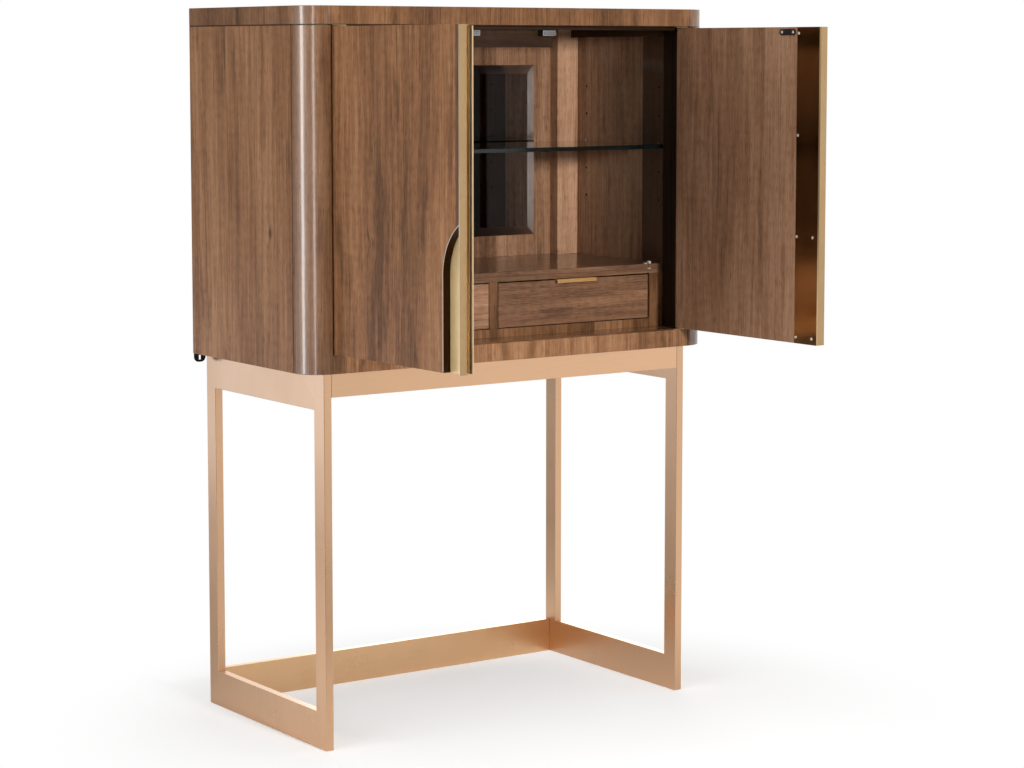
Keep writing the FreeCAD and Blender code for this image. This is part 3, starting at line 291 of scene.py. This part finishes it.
def plain_wood(name, grain, offset, base=MAPLE):
    """Unlacquered light hardwood, for drawer boxes and runners."""
    palette = {"dark": shade(base, 0.72), "mid": base, "light": shade(base, 1.2)}
    return wood(name, grain, offset, palette, contrast=0.55, rough=0.55, coat=0.08, coat_rough=0.35,
                leaf_width=0.2)


# ---------------------------------------------------------------- metal, glass and others

BRASS = (0.60, 0.40, 0.205)
EDGE_BRASS = shade(BRASS, 0.84)
# Near-white brass for the pull rims and the edge strips' outer face: a painted highlight on the brass edges.
RIM_PAINTED_HIGHLIGHT = (0.95, 0.86, 0.72)
PULL_BRASS = (1.0, 0.72, 0.36)
# Near-black metal for the walls inside the pulls' recesses: painted shade in the recess.
PULL_RECESS_PAINTED_SHADE = (0.050, 0.026, 0.014)
# Pale, half-diffuse brass for the door screw heads: a painted glint.
SCREW_PAINTED_GLINT = (0.92, 0.84, 0.68)
TAB_BRASS = (0.84, 0.49, 0.20)
# Near-white, half-diffuse metal for the fold-out leaf's hinge knuckles: a painted glint.
LEAF_HINGE_PAINTED_GLINT = (0.95, 0.90, 0.80)
DOOR_HINGE_BRASS = (0.45, 0.34, 0.21)
FIXED_HINGE_BRASS = (0.55, 0.42, 0.26)
ASTRAGAL_BRONZE = (0.80, 0.58, 0.34)
ROSE_BRONZE = (0.77, 0.468, 0.275)
# A brighter, more orange copy of the stand's bronze for the back floor rail: painted reflection.
FLOOR_RAIL_PAINTED_REFLECTION = (0.90, 0.56, 0.30)
STRIKE_STEEL = (0.10, 0.095, 0.10)
PLATED_STEEL = (0.30, 0.30, 0.32)
# Chrome dimmed to dark grey for the catch faces: a painted dark reflection.
CATCH_CHROME_PAINTED_DARK = (0.30, 0.29, 0.30)
BLACK_STEEL = (0.08, 0.08, 0.085)
CATCH_BLACK = (0.02, 0.02, 0.022)
TAB_BLACK = (0.012, 0.012, 0.013)
# Near-black for the glass shelf's edges: a painted dark reflection in the glass edge.
GLASS_EDGE_PAINTED_DARK = (0.003, 0.006, 0.006)

BRUSH_STRETCH, BRUSH_SCALE = 0.012, 1100.0
BAND_STRETCH, BAND_SCALE = 0.05, 130.0
CLOUD_SCALE = 7.0
SPECK_SCALE = 260.0


def metal(name, base, rough=0.33, brushed="z", brush=0.5, patina=0.12, dark=0.75, coat=0.0, share=1.0,
          painted_reflection=None):
    """Brushed metal: fine lines along one axis, cloudy patina and light handling marks.

    share is how far it is bare metal, the rest being lacquer, and the list of (height, level) after it scales
    the colour up the piece: a painted reflection.
    """
    n = MaterialNodes(name)
    coords = n.coords()

    def drawn(amount):
        stretch = tuple(amount if axis == brushed else 1.0 for axis in "xyz")
        return n.vector("MULTIPLY", coords, stretch)

    lines = n.noise(drawn(BRUSH_STRETCH), BRUSH_SCALE, 3.0, 0.6)
    bands = n.noise(drawn(BAND_STRETCH), BAND_SCALE)
    clouds = n.noise(coords, CLOUD_SCALE, 3.0, 0.55)
    specks = n.noise(coords, SPECK_SCALE)
    tone = n.math("ADD", n.remap(clouds, 0.32, 0.68, -patina, patina),
                  n.remap(lines, 0.3, 0.7, -0.025, 0.025))
    tone = n.math("ADD", n.math("ADD", tone, n.remap(bands, 0.3, 0.7, -0.015, 0.015)), 0.5)
    bright = tuple(min(1, channel * 1.12) for channel in base)
    color = n.ramp(tone, [(0.2, shade(base, dark)), (0.5, base), (0.8, bright)])
    color = n.mix(n.remap(specks, 0.68, 0.76, 0.0, 0.10), color, shade(base, dark * 0.75))
    # A painted reflection: the colour is scaled by height.
    if painted_reflection:
        low, high = painted_reflection[0][0], painted_reflection[-1][0]
        height = n.remap(n.add("ShaderNodeSeparateXYZ", {"Vector": coords}).outputs["Z"], low, high)
        levels = n.ramp(height, [((place - low) / (high - low), (level,) * 3) for place, level in painted_reflection])
        color = n.mix(1.0, color, levels, "MULTIPLY")
    uneven = n.math("ADD", n.remap(clouds, 0.3, 0.7, rough - 0.05, rough + 0.05),
                    n.remap(lines, 0.3, 0.7, -0.08 * brush, 0.10 * brush))
    return n.surface(Base_Color=color, Metallic=share, Roughness=uneven,
                     Normal=n.bump(lines, 0.10 * brush, 0.00005), Coat_Weight=coat, Coat_Roughness=0.25)


def paint(name, base, rough=0.35):
    """Powder-coated metal with a fine orange peel."""
    n = MaterialNodes(name)
    coords = n.coords()
    peel = n.noise(coords, 900.0)
    color = n.ramp(n.noise(coords, 40.0), [(0.3, shade(base, 0.8)), (0.7, shade(base, 1.3))])
    return n.surface(Base_Color=color, Roughness=n.remap(peel, 0.3, 0.7, rough - 0.06, rough + 0.06),
                     Normal=n.bump(peel, 0.2, 0.00008))


def wipe_marks(n, stretch, scale, distortion):
    return n.noise(n.vector("MULTIPLY", n.coords(), stretch), scale, 3.0, 0.6, distortion)


def glass(name):
    """Clear shelf glass with faint wipe marks."""
    n = MaterialNodes(name)
    smears = wipe_marks(n, (1.0, 4.0, 1.0), 9.0, 0.6)
    tint = n.ramp(smears, [(0.3, (0.66, 0.72, 0.70)), (0.7, (0.70, 0.76, 0.74))])
    return n.surface(Base_Color=tint, Roughness=n.remap(smears, 0.35, 0.7, 0.012, 0.035), IOR=1.5,
                     Transmission_Weight=1.0)


def silvered(name, level, rough):
    """Mirror glass, slightly grey, with the faintest wipe marks."""
    n = MaterialNodes(name)
    smears = wipe_marks(n, (1.0, 1.0, 3.0), 6.0, 0.5)
    tint = n.ramp(smears, [(0.3, (level * 0.97,) * 3), (0.7, (level * 1.03,) * 3)])
    return n.surface(Base_Color=tint, Metallic=1.0,
                     Roughness=n.remap(smears, 0.4, 0.75, rough * 0.8, rough * 1.6))


# ---------------------------------------------------------------- mesh helpers

# How far the edges of each kind of piece are rounded.
EASE = {"none": 0.0, "hinge": 0.0002, "plate": 0.0003, "trim": 0.0004, "polished": 0.0005, "board": 0.0006,
        "box": 0.0008, "seam": 0.0012}
WELD_GAP = 1e-6
FLAT_ANGLE = 0.4
EASED_ANGLE = 32
SHARP_ANGLE = 30
FACING = 0.9
PIN_HOLE_FACE = 4e-5


def cleaned(node):
    """The CAD node's mesh with its flat faces whole again, as a new bmesh."""
    bm = bmesh.new()
    bm.from_mesh(nodes[node].data)
    bmesh.ops.remove_doubles(bm, verts=bm.verts, dist=WELD_GAP)
    bmesh.ops.dissolve_limit(bm, angle_limit=math.radians(FLAT_ANGLE), verts=bm.verts, edges=bm.edges)
    return bm


def finish_mesh(bm, name, materials, ease, segments, sharp):
    """Makes an object of the bmesh, with its sharp edges rounded and its round faces smooth."""
    mesh = bpy.data.meshes.new(name)
    bm.to_mesh(mesh)
    bm.free()
    for polygon in mesh.polygons:
        polygon.use_smooth = True
    mesh.set_sharp_from_angle(angle=math.radians(sharp))
    item = bpy.data.objects.new(name, mesh)
    bpy.context.scene.collection.objects.link(item)
    for material in materials:
        mesh.materials.append(material)
    if ease:
        bevel = item.modifiers.new("eased", "BEVEL")
        bevel.width = ease
        bevel.segments = segments
        bevel.limit_method = "ANGLE"
        bevel.angle_limit = math.radians(EASED_ANGLE)
        bevel.harden_normals = True
        bevel.use_clamp_overlap = True
        bevel.miter_outer = "MITER_ARC"
    weighted = item.modifiers.new("normals", "WEIGHTED_NORMAL")
    weighted.keep_sharp = True
    weighted.weight = 60
    return item


def looks_level(face):
    return abs(face.normal.z) > FACING


def looks_down(face):
    return face.normal.z < -FACING


def looks_forward(face):
    return face.normal.y < -FACING


def looks_sideways(face):
    return abs(face.normal.z) < 0.5


def looks_tiny(face):
    return face.calc_area() < PIN_HOLE_FACE


def is_slanted(face):
    return 0.02 < math.hypot(face.normal.x, face.normal.z) < 0.5


def is_round(face):
    return abs(face.normal.x) > 0.05 and abs(face.normal.y) > 0.05 and abs(face.normal.z) < 0.5


def is_wall(face):
    return abs(face.normal.x) < 0.6


def dress(node, name, material, ease="board", segments=2, sharp=SHARP_ANGLE, others=(), reshape=None):
    """A finer piece in place of a CAD node: the same form with eased edges and its own material.

    others are further materials, each with the test that says which faces take it.
    """
    bm = cleaned(node)
    if reshape:
        reshape(bm)
    bm.normal_update()
    for number, (_, chosen) in enumerate(others, start=1):
        for face in bm.faces:
            if chosen(face):
                face.material_index = number
    piece = finish_mesh(bm, name, [material] + [other for other, _ in others], EASE[ease], segments, sharp)
    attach(piece, body_of_node[node])
    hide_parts(node)


# ---------------------------------------------------------------- the case

# Painted shadow: the darker band at the front of each inner wall stands for the shade the jamb casts there.
PAINTED_JAMB_SHADOW = ("y", -0.426, -0.335, 0.86)
SLAB_SEAM = ("z", 1.4843, 1.4874, 0.85)
POST_SEAM = ("y", -0.4594, -0.4568, 0.8)
BOTH_SEAMS = [SLAB_SEAM, POST_SEAM]
LIPPING_BAND = ("y", -0.956, -0.9445, 0.55)

SIDE_KNOT = ((-0.514, -0.366, 1.062), 0.011)
DOOR_KNOT = ((-0.4555, -0.663, 1.057), 0.013)

# The inner walls carry the painted shadow band beside the jambs.
INNER_WALL = dict(palette=INNER_WALNUT, tone=1.25, coat=0.8, coat_rough=0.16, strips=[PAINTED_JAMB_SHADOW])
POLISHED = dict(rough=0.3, coat_rough=0.05, gloss=0.5)
ROUND_CORNER = dict(gloss=0.5, coat=1.0, coat_rough=0.16, rough=0.4)
# Painted shade: the posts' inward faces, the jambs, are near-black for the shade that falls there.
PAINTED_JAMB_SHADE_TONE = 0.07
# Painted shade: the faces inside the shelf-pin holes are near-black for the shade within them.
PIN_HOLE_PAINTED_SHADE_TONE = 0.04

# Each board's piece, grain, offset into the wood, eased edge and look.
CASE_BOARDS = {
    "top_panel": ("Top_slab", "z", 3.1, "seam", dict(leaf_width=0.13, fold=0, tone=0.72, strips=[SLAB_SEAM])),
    "left_side_panel": ("Left_side_board", "z", 8.45, "seam",
                        dict(tone=0.94, knots=[SIDE_KNOT], strips=BOTH_SEAMS)),
    "right_side_panel": ("Right_side_board", "z", 12.3, "seam", dict(strips=BOTH_SEAMS)),
    "left_corner_post": ("Left_corner_post", "z", 15.7, "seam", dict(fold=-1, tone=0.58, strips=BOTH_SEAMS)),
    "right_corner_post": ("Right_corner_post", "z", 19.2, "seam", dict(tone=0.58, strips=BOTH_SEAMS)),
    "bottom_front_rail": ("Bottom_rail", "z", 22.9, "seam", dict(leaf_width=0.13, fold=0, tone=0.86)),
    "left_liner_panel": ("Left_inner_wall", "z", 26.4, "board", INNER_WALL),
    "right_liner_panel": ("Right_inner_wall", "z", 30.6, "board", INNER_WALL),
    "inner_back_panel": ("Inner_back", "z", 34.2, "board", dict(palette=INNER_WALNUT, tone=1.15)),
    "back_stiles": ("Back_stiles", "z", 37.5, "board", dict(palette=INNER_WALNUT, tone=1.4)),
    # The cleats, catch rail and door stop strip have very low tones: painted shade under the top slab.
    "top_cleats": ("Top_cleats", "y", 41.1, "board", dict(tone=0.3)),
    "catch_rail": ("Catch_rail", "x", 44.4, "board", dict(tone=0.13)),
    "door_stop_strip": ("Door_stop_strip", "x", 47.9, "board", dict(tone=0.10)),
    "back_panel": ("Back_board", "z", 51.3, "board", dict(tone=0.9)),
}
SLAB_FACE_OFFSET, SLAB_UNDERSIDE_OFFSET = 4.6, 6.2
FLOOR_OFFSET = 55.2


def case_faces(node, title, grain, offset, look):
    """The further materials of one board of the case, with the faces that take them."""
    others = []
    is_post = node in ("left_corner_post", "right_corner_post")
    if node == "top_panel":
        slab_face = wood("Walnut slab face", "x", SLAB_FACE_OFFSET, leaf_width=0.16, coat=0.3, coat_rough=0.2)
        others.append((slab_face, looks_level))
        # The slab's underside is near-black: painted shade under the top.
        others.append((wood("Walnut slab underside", "x", SLAB_UNDERSIDE_OFFSET, tone=0.2), looks_down))
    if node.endswith("_liner_panel"):
        # Painted shade inside the shelf-pin holes.
        others.append((wood(title + ", holes", grain, offset, tone=PIN_HOLE_PAINTED_SHADE_TONE), looks_tiny))
    if is_post:
        # The jamb faces take a near-black copy of the post's wood: painted shade.
        inward = 1 if node.startswith("left") else -1
        painted_jamb_shade = wood(title + ", jamb", grain, offset, **{**look, "tone": PAINTED_JAMB_SHADE_TONE})
        others.append((painted_jamb_shade, lambda face: face.normal.x * inward > FACING))
    if is_post or node == "top_panel":
        others.append((wood(title + ", corner", grain, offset, **{**look, **ROUND_CORNER}), is_round))
    return others


def dress_case():
    for node, (name, grain, offset, ease, look) in CASE_BOARDS.items():
        title = name.replace("_", " ") + " walnut"
        others = case_faces(node, title, grain, offset, look)
        dress(node, name, wood(title, grain, offset, **look), ease, others=others)
    floor = wood("Walnut floor, polished", "x", FLOOR_OFFSET, tone=0.6, coat=1.0, **POLISHED)
    dress("bottom_panel", "Floor_board", floor, "polished")


# ---------------------------------------------------------------- counter and drawers

COUNTER_OFFSET = 58.6
DIVIDER_OFFSET, DRAWER_FRAME_OFFSET, RUNNER_OFFSET = 61.8, 65.3, 68.7
DRAWER_OFFSETS = {"left": 71.4, "right": 76.6}
DRAWER_BOX_SHIFT, DRAWER_BOTTOM_SHIFT = 1.5, 2.6


def dress_counter():
    edge = wood("Walnut counter edge", "x", COUNTER_OFFSET, palette=INNER_WALNUT, tone=0.72)
    for node, name in (("counter_board", "Counter"), ("fold_leaf", "Fold_out_leaf")):
        title = name.replace("_", " ") + " walnut, polished"
        top = wood(title, "x", COUNTER_OFFSET, tone=0.19, coat=0.75, **POLISHED)
        dress(node, name, top, "polished", others=[(edge, looks_sideways)])
    # The hinge knuckles' near-white colour is a painted glint on the brass.
    brass = metal("Polished hinge brass", LEAF_HINGE_PAINTED_GLINT, rough=0.25, brushed="x", brush=0.2, share=0.5)
    dress("counter_hinges", "Leaf_hinges_fixed", brass, "hinge")
    dress("fold_leaf_hinges", "Leaf_hinges_moving", brass, "hinge")


def dress_drawers():
    dress("drawer_divider", "Drawer_divider", wood("Walnut divider", "z", DIVIDER_OFFSET, tone=0.75))
    face_frame = wood("Walnut drawer frame", "z", DRAWER_FRAME_OFFSET, tone=0.8)
    dress("drawer_face_frame", "Drawer_frame", face_frame)
    dress("drawer_runners", "Drawer_runners", plain_wood("Hardwood runners", "y", RUNNER_OFFSET), "polished")
    for side, offset in DRAWER_OFFSETS.items():
        title = side.capitalize()
        front = wood(f"Walnut {side} drawer front", "x", offset, leaf_width=0.11, contrast=0.85, tone=1.05,
                     palette=INNER_WALNUT)
        dress(f"{side}_drawer_front", f"{title}_drawer_front", front, "none")
        box = plain_wood(f"Hardwood {side} drawer box", "y", offset + DRAWER_BOX_SHIFT)
        dress(f"{side}_drawer_box", f"{title}_drawer_box", box, "box")
        base = plain_wood(f"Hardwood {side} drawer bottom", "x", offset + DRAWER_BOTTOM_SHIFT,
                          shade(MAPLE, 1.05))
        dress(f"{side}_drawer_bottom", f"{title}_drawer_bottom", base, "trim")
        tab = metal(f"{title} tab brass", TAB_BRASS, rough=0.3, brushed="x", share=0.7)
        dress(f"{side}_drawer_pull", f"{title}_drawer_pull", tab, "trim")


# ---------------------------------------------------------------- doors

DOOR_OFFSETS = {"left": 80.25, "right": 86.1}
DOOR_INSIDE_SHIFT = 2.3
PULL_RIM_WIDTH = 0.008
# (height, level) of a painted reflection on the inner plates, which is darker towards the top and darkest in
# the middle.
PLATE_PAINTED_REFLECTION = [(0.82, 1.0), (0.90, 1.0), (0.98, 0.75), (1.08, 0.30), (1.28, 0.28), (1.36, 0.5), (1.49, 0.6)]


def dress_door_boards(side, title):
    offset = DOOR_OFFSETS[side]
    face = wood(f"{title} door face walnut", "z", offset, knots=[DOOR_KNOT] if side == "left" else [],
                leaf_width=0.115, strips=[LIPPING_BAND], tone=1.12)
    dress(f"{side}_door_panel", f"{title}_door_board", face, "trim")
    inner = wood(f"{title} door inside walnut", "z", offset + DOOR_INSIDE_SHIFT, leaf_width=0.09, tone=0.95,
                 coat=0.35, contrast=0.85, palette=INNER_WALNUT)
    dress(f"{side}_door_inner_panel", f"{title}_door_inside", inner, "trim")


def dress_door_brass(side, title):
    """The inner plate, the edge strip and the pull's tray, whose outward rim is near-white: a painted
    highlight.
    """
    outward = -1 if side == "left" else 1
    tray_vertices = nodes[f"{side}_door_pull_tray"].data.vertices
    outermost = max(vert.co.x * outward for vert in tray_vertices)

    def looks_outward(face):
        return face.normal.x * outward > FACING

    def is_rim(face):
        return looks_outward(face) and face.calc_center_median().x * outward > outermost - PULL_RIM_WIDTH

    # The inner plate's colour carries a painted reflection by height.
    smooth = metal(f"{title} inner plate brass", BRASS, rough=0.12, brush=0.1, patina=0.06, painted_reflection=PLATE_PAINTED_REFLECTION)
    dress(f"{side}_door_inner_plate", f"{title}_inner_plate", smooth, "plate")
    # The rim's near-white brass is a painted highlight.
    rim = metal(f"{title} pull rim brass", RIM_PAINTED_HIGHLIGHT, rough=0.35, brush=0.2)
    band = metal(f"{title} edge band brass", EDGE_BRASS, rough=0.26, brush=0.3)
    dress(f"{side}_door_edge_strip", f"{title}_edge_strip", band, "plate", others=[(rim, looks_outward)])
    tray = metal(f"{title} pull floor brass", PULL_BRASS, rough=0.36, brush=0.2, share=0.5)
    # The recess walls are near-black: painted shade.
    wall = metal(f"{title} pull wall bronze", PULL_RECESS_PAINTED_SHADE, rough=0.3, brush=0.3)
    dress(f"{side}_door_pull_tray", f"{title}_pull_tray", tray, "hinge",
          others=[(rim, is_rim), (wall, is_wall)])


def dress_door_fittings(side, title):
    # The screw heads' pale colour is a painted glint.
    heads = metal(f"{title} screw brass", SCREW_PAINTED_GLINT, rough=0.3, brushed="x", brush=0.1, share=0.6)
    dress(f"{side}_door_screws", f"{title}_door_screws", heads, "plate", segments=3)
    steel = metal(f"{title} strike steel", STRIKE_STEEL, rough=0.35, brushed="y", dark=0.8)
    dress(f"{side}_door_strike_plate", f"{title}_strike_plate", steel, "plate")
    hinge = metal(f"{title} hinge brass", DOOR_HINGE_BRASS, rough=0.35, brushed="y")
    dress(f"{side}_door_hinge_leaves", f"{title}_hinge_leaves", hinge, "hinge")


def dress_doors():
    for side in ("left", "right"):
        title = side.capitalize()
        dress_door_boards(side, title)
        dress_door_brass(side, title)
        dress_door_fittings(side, title)
    bronze = metal("Astragal bronze", ASTRAGAL_BRONZE, rough=0.34, brush=0.05, patina=0.05)
    dress("left_door_astragal", "Astragal", bronze, "trim")


# ---------------------------------------------------------------- stand and small parts

STAND_LOOK = dict(rough=0.3, coat=0.35, brush=0.03)
# The right frame is a darker copy of the same bronze: painted shade on the far side.
STAND_SIDES = {"left": ROSE_BRONZE, "right": shade(ROSE_BRONZE, 0.9)}
TAB_FOOT_RADIUS = 0.011


def dress_stand():
    for side, bronze in STAND_SIDES.items():
        bars = metal(f"Rose bronze {side} frame", bronze, patina=0.04, **STAND_LOOK)
        dress(f"stand_{side}_frame", f"Stand_{side}_frame", bars, "none")
    cross = metal("Rose bronze cross rails", ROSE_BRONZE, brushed="x", patina=0.04, **STAND_LOOK)
    # The floor rail's bronze is a brighter copy: painted reflection.
    low = metal("Rose bronze floor rail", FLOOR_RAIL_PAINTED_REFLECTION, brushed="x", patina=0.06, **STAND_LOOK)
    dress("stand_front_apron", "Stand_front_apron", cross)
    dress("stand_back_apron", "Stand_back_apron", cross)
    dress("stand_back_floor_rail", "Stand_back_floor_rail", low)
    plates = metal("Bronze mount plates", shade(ROSE_BRONZE, 0.8), brushed="x")
    dress("stand_mount_plates", "Stand_mount_plates", plates, "trim")


def round_tab_feet(bm):
    """Rounds the two lower corners of each anti-tip tab."""
    low = min(vert.co.z for vert in bm.verts)
    feet = [edge for edge in bm.edges
            if all(abs(vert.co.z - low) < 1e-5 for vert in edge.verts)
            and abs(edge.verts[0].co.y - edge.verts[1].co.y) > 0.001]
    bmesh.ops.bevel(bm, geom=feet, offset=TAB_FOOT_RADIUS, segments=6, profile=0.5, affect="EDGES")


def dress_small():
    steel = metal("Plated steel", PLATED_STEEL, rough=0.2, brushed="x", brush=0.2)
    # The catch faces are chrome dimmed to dark grey: painted dark reflection.
    chrome = metal("Catch face chrome", CATCH_CHROME_PAINTED_DARK, rough=0.08, brushed="x", brush=0.1)
    catch = paint("Catch body black", CATCH_BLACK)
    dress("door_catches", "Door_catches", catch, "trim", others=[(chrome, looks_forward)])
    dress("shelf_clips", "Shelf_clips", steel, "plate")
    hinge = metal("Hinge brass", FIXED_HINGE_BRASS, rough=0.35, brushed="y")
    dress("case_hinge_leaves", "Fixed_hinge_leaves", hinge, "hinge")
    dress("case_screws", "Fixing_screws", metal("Black screws", BLACK_STEEL, rough=0.4, brush=0.1), "trim")
    dress("tip_tabs", "Tip_tabs", paint("Black coated tabs", TAB_BLACK), "trim", reshape=round_tab_feet)
    # The shelf's edges are painted near-black: painted dark reflection.
    edge = paint("Polished glass edge", GLASS_EDGE_PAINTED_DARK, 0.14)
    dress("glass_shelf", "Glass_shelf", glass("Shelf glass"), "none", others=[(edge, looks_sideways)])
    bevel = silvered("Mirror bevel silver", 0.92, 0.10)
    # The flat mirror's silver is dimmed to about half the bevel's: a painted darkening of its reflection.
    silver = silvered("Mirror silver", 0.52, 0.02)
    dress("mirror", "Mirror", silver, "none", sharp=2, others=[(bevel, is_slanted)])


# ---------------------------------------------------------------- stage, light and camera

STUDIO_FILL = 0.06
STUDIO_GLOSS = 0.07
DIM_SIDE = (-0.5, -0.866, 0.0)
BACK_LEFT = (-0.57, 0.82, 0.0)
BACK_GLOSS = 0.42

FLOOR_COLOR = (0.86, 0.86, 0.86, 1)
FLOOR_LIFT = 0.30
FLOOR_GLOSS = 0.14
FLOOR_RADIUS = 40.0
FLOOR_DROP = 0.0005
TO_SHADOW_CENTRE = (0.0, 0.52, 0.0)
SHADOW_ZONE = (0.40, 1.05)
BESIDE = (0.82, 0.57, 0.0)

WHITE = (1, 1, 1)
# Each light's place, target, size, watts, colour and the rays that it is left out of.
LIGHTS = {
    "Key_front": ((-0.26, -4.9, 1.80), (0.0, -0.3, 1.15), (0.42, 0.42), 170, WHITE, "glossy"),
    "Soft_left": ((-4.6, -1.4, 1.7), (0.0, -0.5, 1.1), (4.0, 3.0), 128, WHITE, "glossy"),
    "Strip_left": ((-3.9, -0.28, 1.0), (-0.5, -0.45, 1.0), (0.75, 2.4), 56, WHITE, "diffuse"),
    "Strip_front": ((-4.1, -4.4, 1.0), (-0.5, -0.45, 1.0), (0.7, 2.4), 40, WHITE, "diffuse"),
    "Card_back_left": ((-1.9, 1.85, 0.42), (-0.46, -0.2, 0.4), (1.1, 0.62), 1.8, (0.8, 1.0, 1.3), "diffuse"),
    "Fill_back": ((3.2, 3.4, 2.0), (0.0, -0.2, 1.0), (2.5, 2.5), 34, WHITE, None),
    "Overhead": ((0.2, -1.0, 4.2), (0.0, -0.4, 0.0), (3.0, 3.0), 55, WHITE, None),
}
STRIPS = ("Strip_left", "Strip_front")
STRIP_RECEIVERS = ("Left_corner_post", "Right_corner_post", "Top_slab", "Mirror", "Astragal",
                   "Left_inner_wall", "Right_inner_wall")

PHOTO_WIDTH = 1024
FOCAL_LENGTH_PIXELS = 2619.52
SENSOR_WIDTH = 36.0
CAMERA_PLACE = (-3.15171, -5.04132, 1.43333)
CAMERA_DIP = 0.09942
CAMERA_TURN = -0.60599
CAMERA_SHIFT = -0.07


def studio_gloss(n, direction, back_level=BACK_GLOSS):
    """How bright gloss finds a direction: white, dim to the front left, at back_level to the back left."""
    aim = n.vector("NORMALIZE", direction)
    facing = n.vector("DOT_PRODUCT", aim, DIM_SIDE)
    behind = n.remap(n.vector("DOT_PRODUCT", aim, BACK_LEFT), 0.65, 0.95, smooth=True)
    back = n.math("MULTIPLY_ADD", behind, n.math("SUBTRACT", back_level, 1.0), 1.0)
    return n.math("MULTIPLY", n.remap(facing, 0.55, 0.88, 1.0, STUDIO_GLOSS, smooth=True), back)


def make_world():
    """Pure white to the camera; gloss sees the white backdrop and the dim side of the studio."""
    world = bpy.data.worlds.new("Studio")
    bpy.context.scene.world = world
    world.use_nodes = True
    n = Nodes(world.node_tree, "ShaderNodeOutputWorld")
    path = n.add("ShaderNodeLightPath").outputs
    backdrop = studio_gloss(n, n.add("ShaderNodeTexCoord").outputs["Generated"])
    lit = n.math("MAXIMUM", n.math("MULTIPLY", path["Is Glossy Ray"], backdrop), STUDIO_FILL)
    white = n.math("MAXIMUM", path["Is Camera Ray"], path["Is Transmission Ray"])
    strength = n.math("MAXIMUM", white, lit)
    n.finish(n.add("ShaderNodeBackground", {"Color": (*WHITE, 1), "Strength": strength}))


def floor_material():
    """Diffuse near the object, where the shadow falls, and pure white further out."""
    n = MaterialNodes("Studio floor")
    path = n.add("ShaderNodeLightPath").outputs
    direct, glossy = path["Is Camera Ray"], path["Is Glossy Ray"]
    place = n.vector("ADD", n.coords(), TO_SHADOW_CENTRE)
    distance = n.vector("LENGTH", place)
    far = n.remap(distance, *SHADOW_ZONE, smooth=True)

    lift_level = n.math("MULTIPLY_ADD", direct, FLOOR_LIFT, n.math("MULTIPLY", glossy, FLOOR_GLOSS))
    diffuse = n.add("ShaderNodeBsdfDiffuse", {"Color": FLOOR_COLOR})
    lift = n.add("ShaderNodeEmission", {"Color": (*WHITE, 1), "Strength": lift_level})
    near = n.add("ShaderNodeAddShader")
    n.feed(near.inputs[0], diffuse.outputs[0])
    n.feed(near.inputs[1], lift.outputs[0])

    beside = n.remap(n.vector("DOT_PRODUCT", place, BESIDE), -0.50, 0.05, 1.0, BACK_GLOSS, smooth=True)
    beyond = n.remap(distance, 4.0, 9.0, 1.0, BACK_GLOSS)
    shine = n.math("MULTIPLY", studio_gloss(n, place, n.math("MINIMUM", beside, beyond)), glossy)
    white = n.add("ShaderNodeEmission", {"Color": (*WHITE, 1), "Strength": n.math("MAXIMUM", shine, direct)})

    seen = n.math("MAXIMUM", direct, glossy)
    mixed = n.add("ShaderNodeMixShader", {"Fac": n.math("MULTIPLY", far, seen)})
    n.feed(mixed.inputs[1], near.outputs[0])
    n.feed(mixed.inputs[2], white.outputs[0])
    n.finish(mixed)
    return n.material


def make_floor():
    mesh = bpy.data.meshes.new("Studio_floor")
    bm = bmesh.new()
    bmesh.ops.create_circle(bm, cap_ends=True, radius=FLOOR_RADIUS, segments=96)
    bm.to_mesh(mesh)
    bm.free()
    mesh.materials.append(floor_material())
    floor = bpy.data.objects.new("Studio_floor", mesh)
    bpy.context.scene.collection.objects.link(floor)
    floor.location = (0, 0, -FLOOR_DROP)


def make_lights():
    """A frontal key, a soft wall on the left, an overhead, a back fill, and strips and a card for gloss."""
    for name, (place, target, size, power, color, left_out) in LIGHTS.items():
        lamp = bpy.data.lights.new(name, "AREA")
        lamp.shape = "RECTANGLE"
        lamp.size, lamp.size_y = size
        lamp.energy = power
        lamp.color = color
        item = bpy.data.objects.new(name, lamp)
        bpy.context.scene.collection.objects.link(item)
        item.location = place
        item.rotation_euler = (Vector(target) - Vector(place)).to_track_quat("-Z", "Y").to_euler()
        item.visible_camera = False
        item.visible_glossy = left_out != "glossy"
        item.visible_diffuse = left_out != "diffuse"


def link_strips():
    """Keeps the two strips to what needs them, so that the stand doesn't mirror them in other views."""
    receivers = bpy.data.collections.new("Strip_receivers")
    for name in STRIP_RECEIVERS:
        receivers.objects.link(bpy.data.objects[name])
    for name in STRIPS:
        bpy.data.objects[name].light_linking.receiver_collection = receivers


def make_camera():
    """The photograph's own viewpoint."""
    data = bpy.data.cameras.new("Camera")
    data.sensor_width = SENSOR_WIDTH
    data.lens = FOCAL_LENGTH_PIXELS / PHOTO_WIDTH * SENSOR_WIDTH
    data.shift_y = CAMERA_SHIFT
    data.clip_end = 200
    camera = bpy.data.objects.new("Camera", data)
    bpy.context.scene.collection.objects.link(camera)
    camera.location = CAMERA_PLACE
    camera.rotation_euler = (math.pi / 2 - CAMERA_DIP, 0, CAMERA_TURN)
    bpy.context.scene.camera = camera


make_camera()
make_world()
make_floor()
make_lights()
dress_case()
dress_counter()
dress_drawers()
dress_doors()
dress_stand()
dress_small()
link_strips()

bpy.context.scene.view_settings.view_transform = "Standard"
bpy.context.view_layer.update()
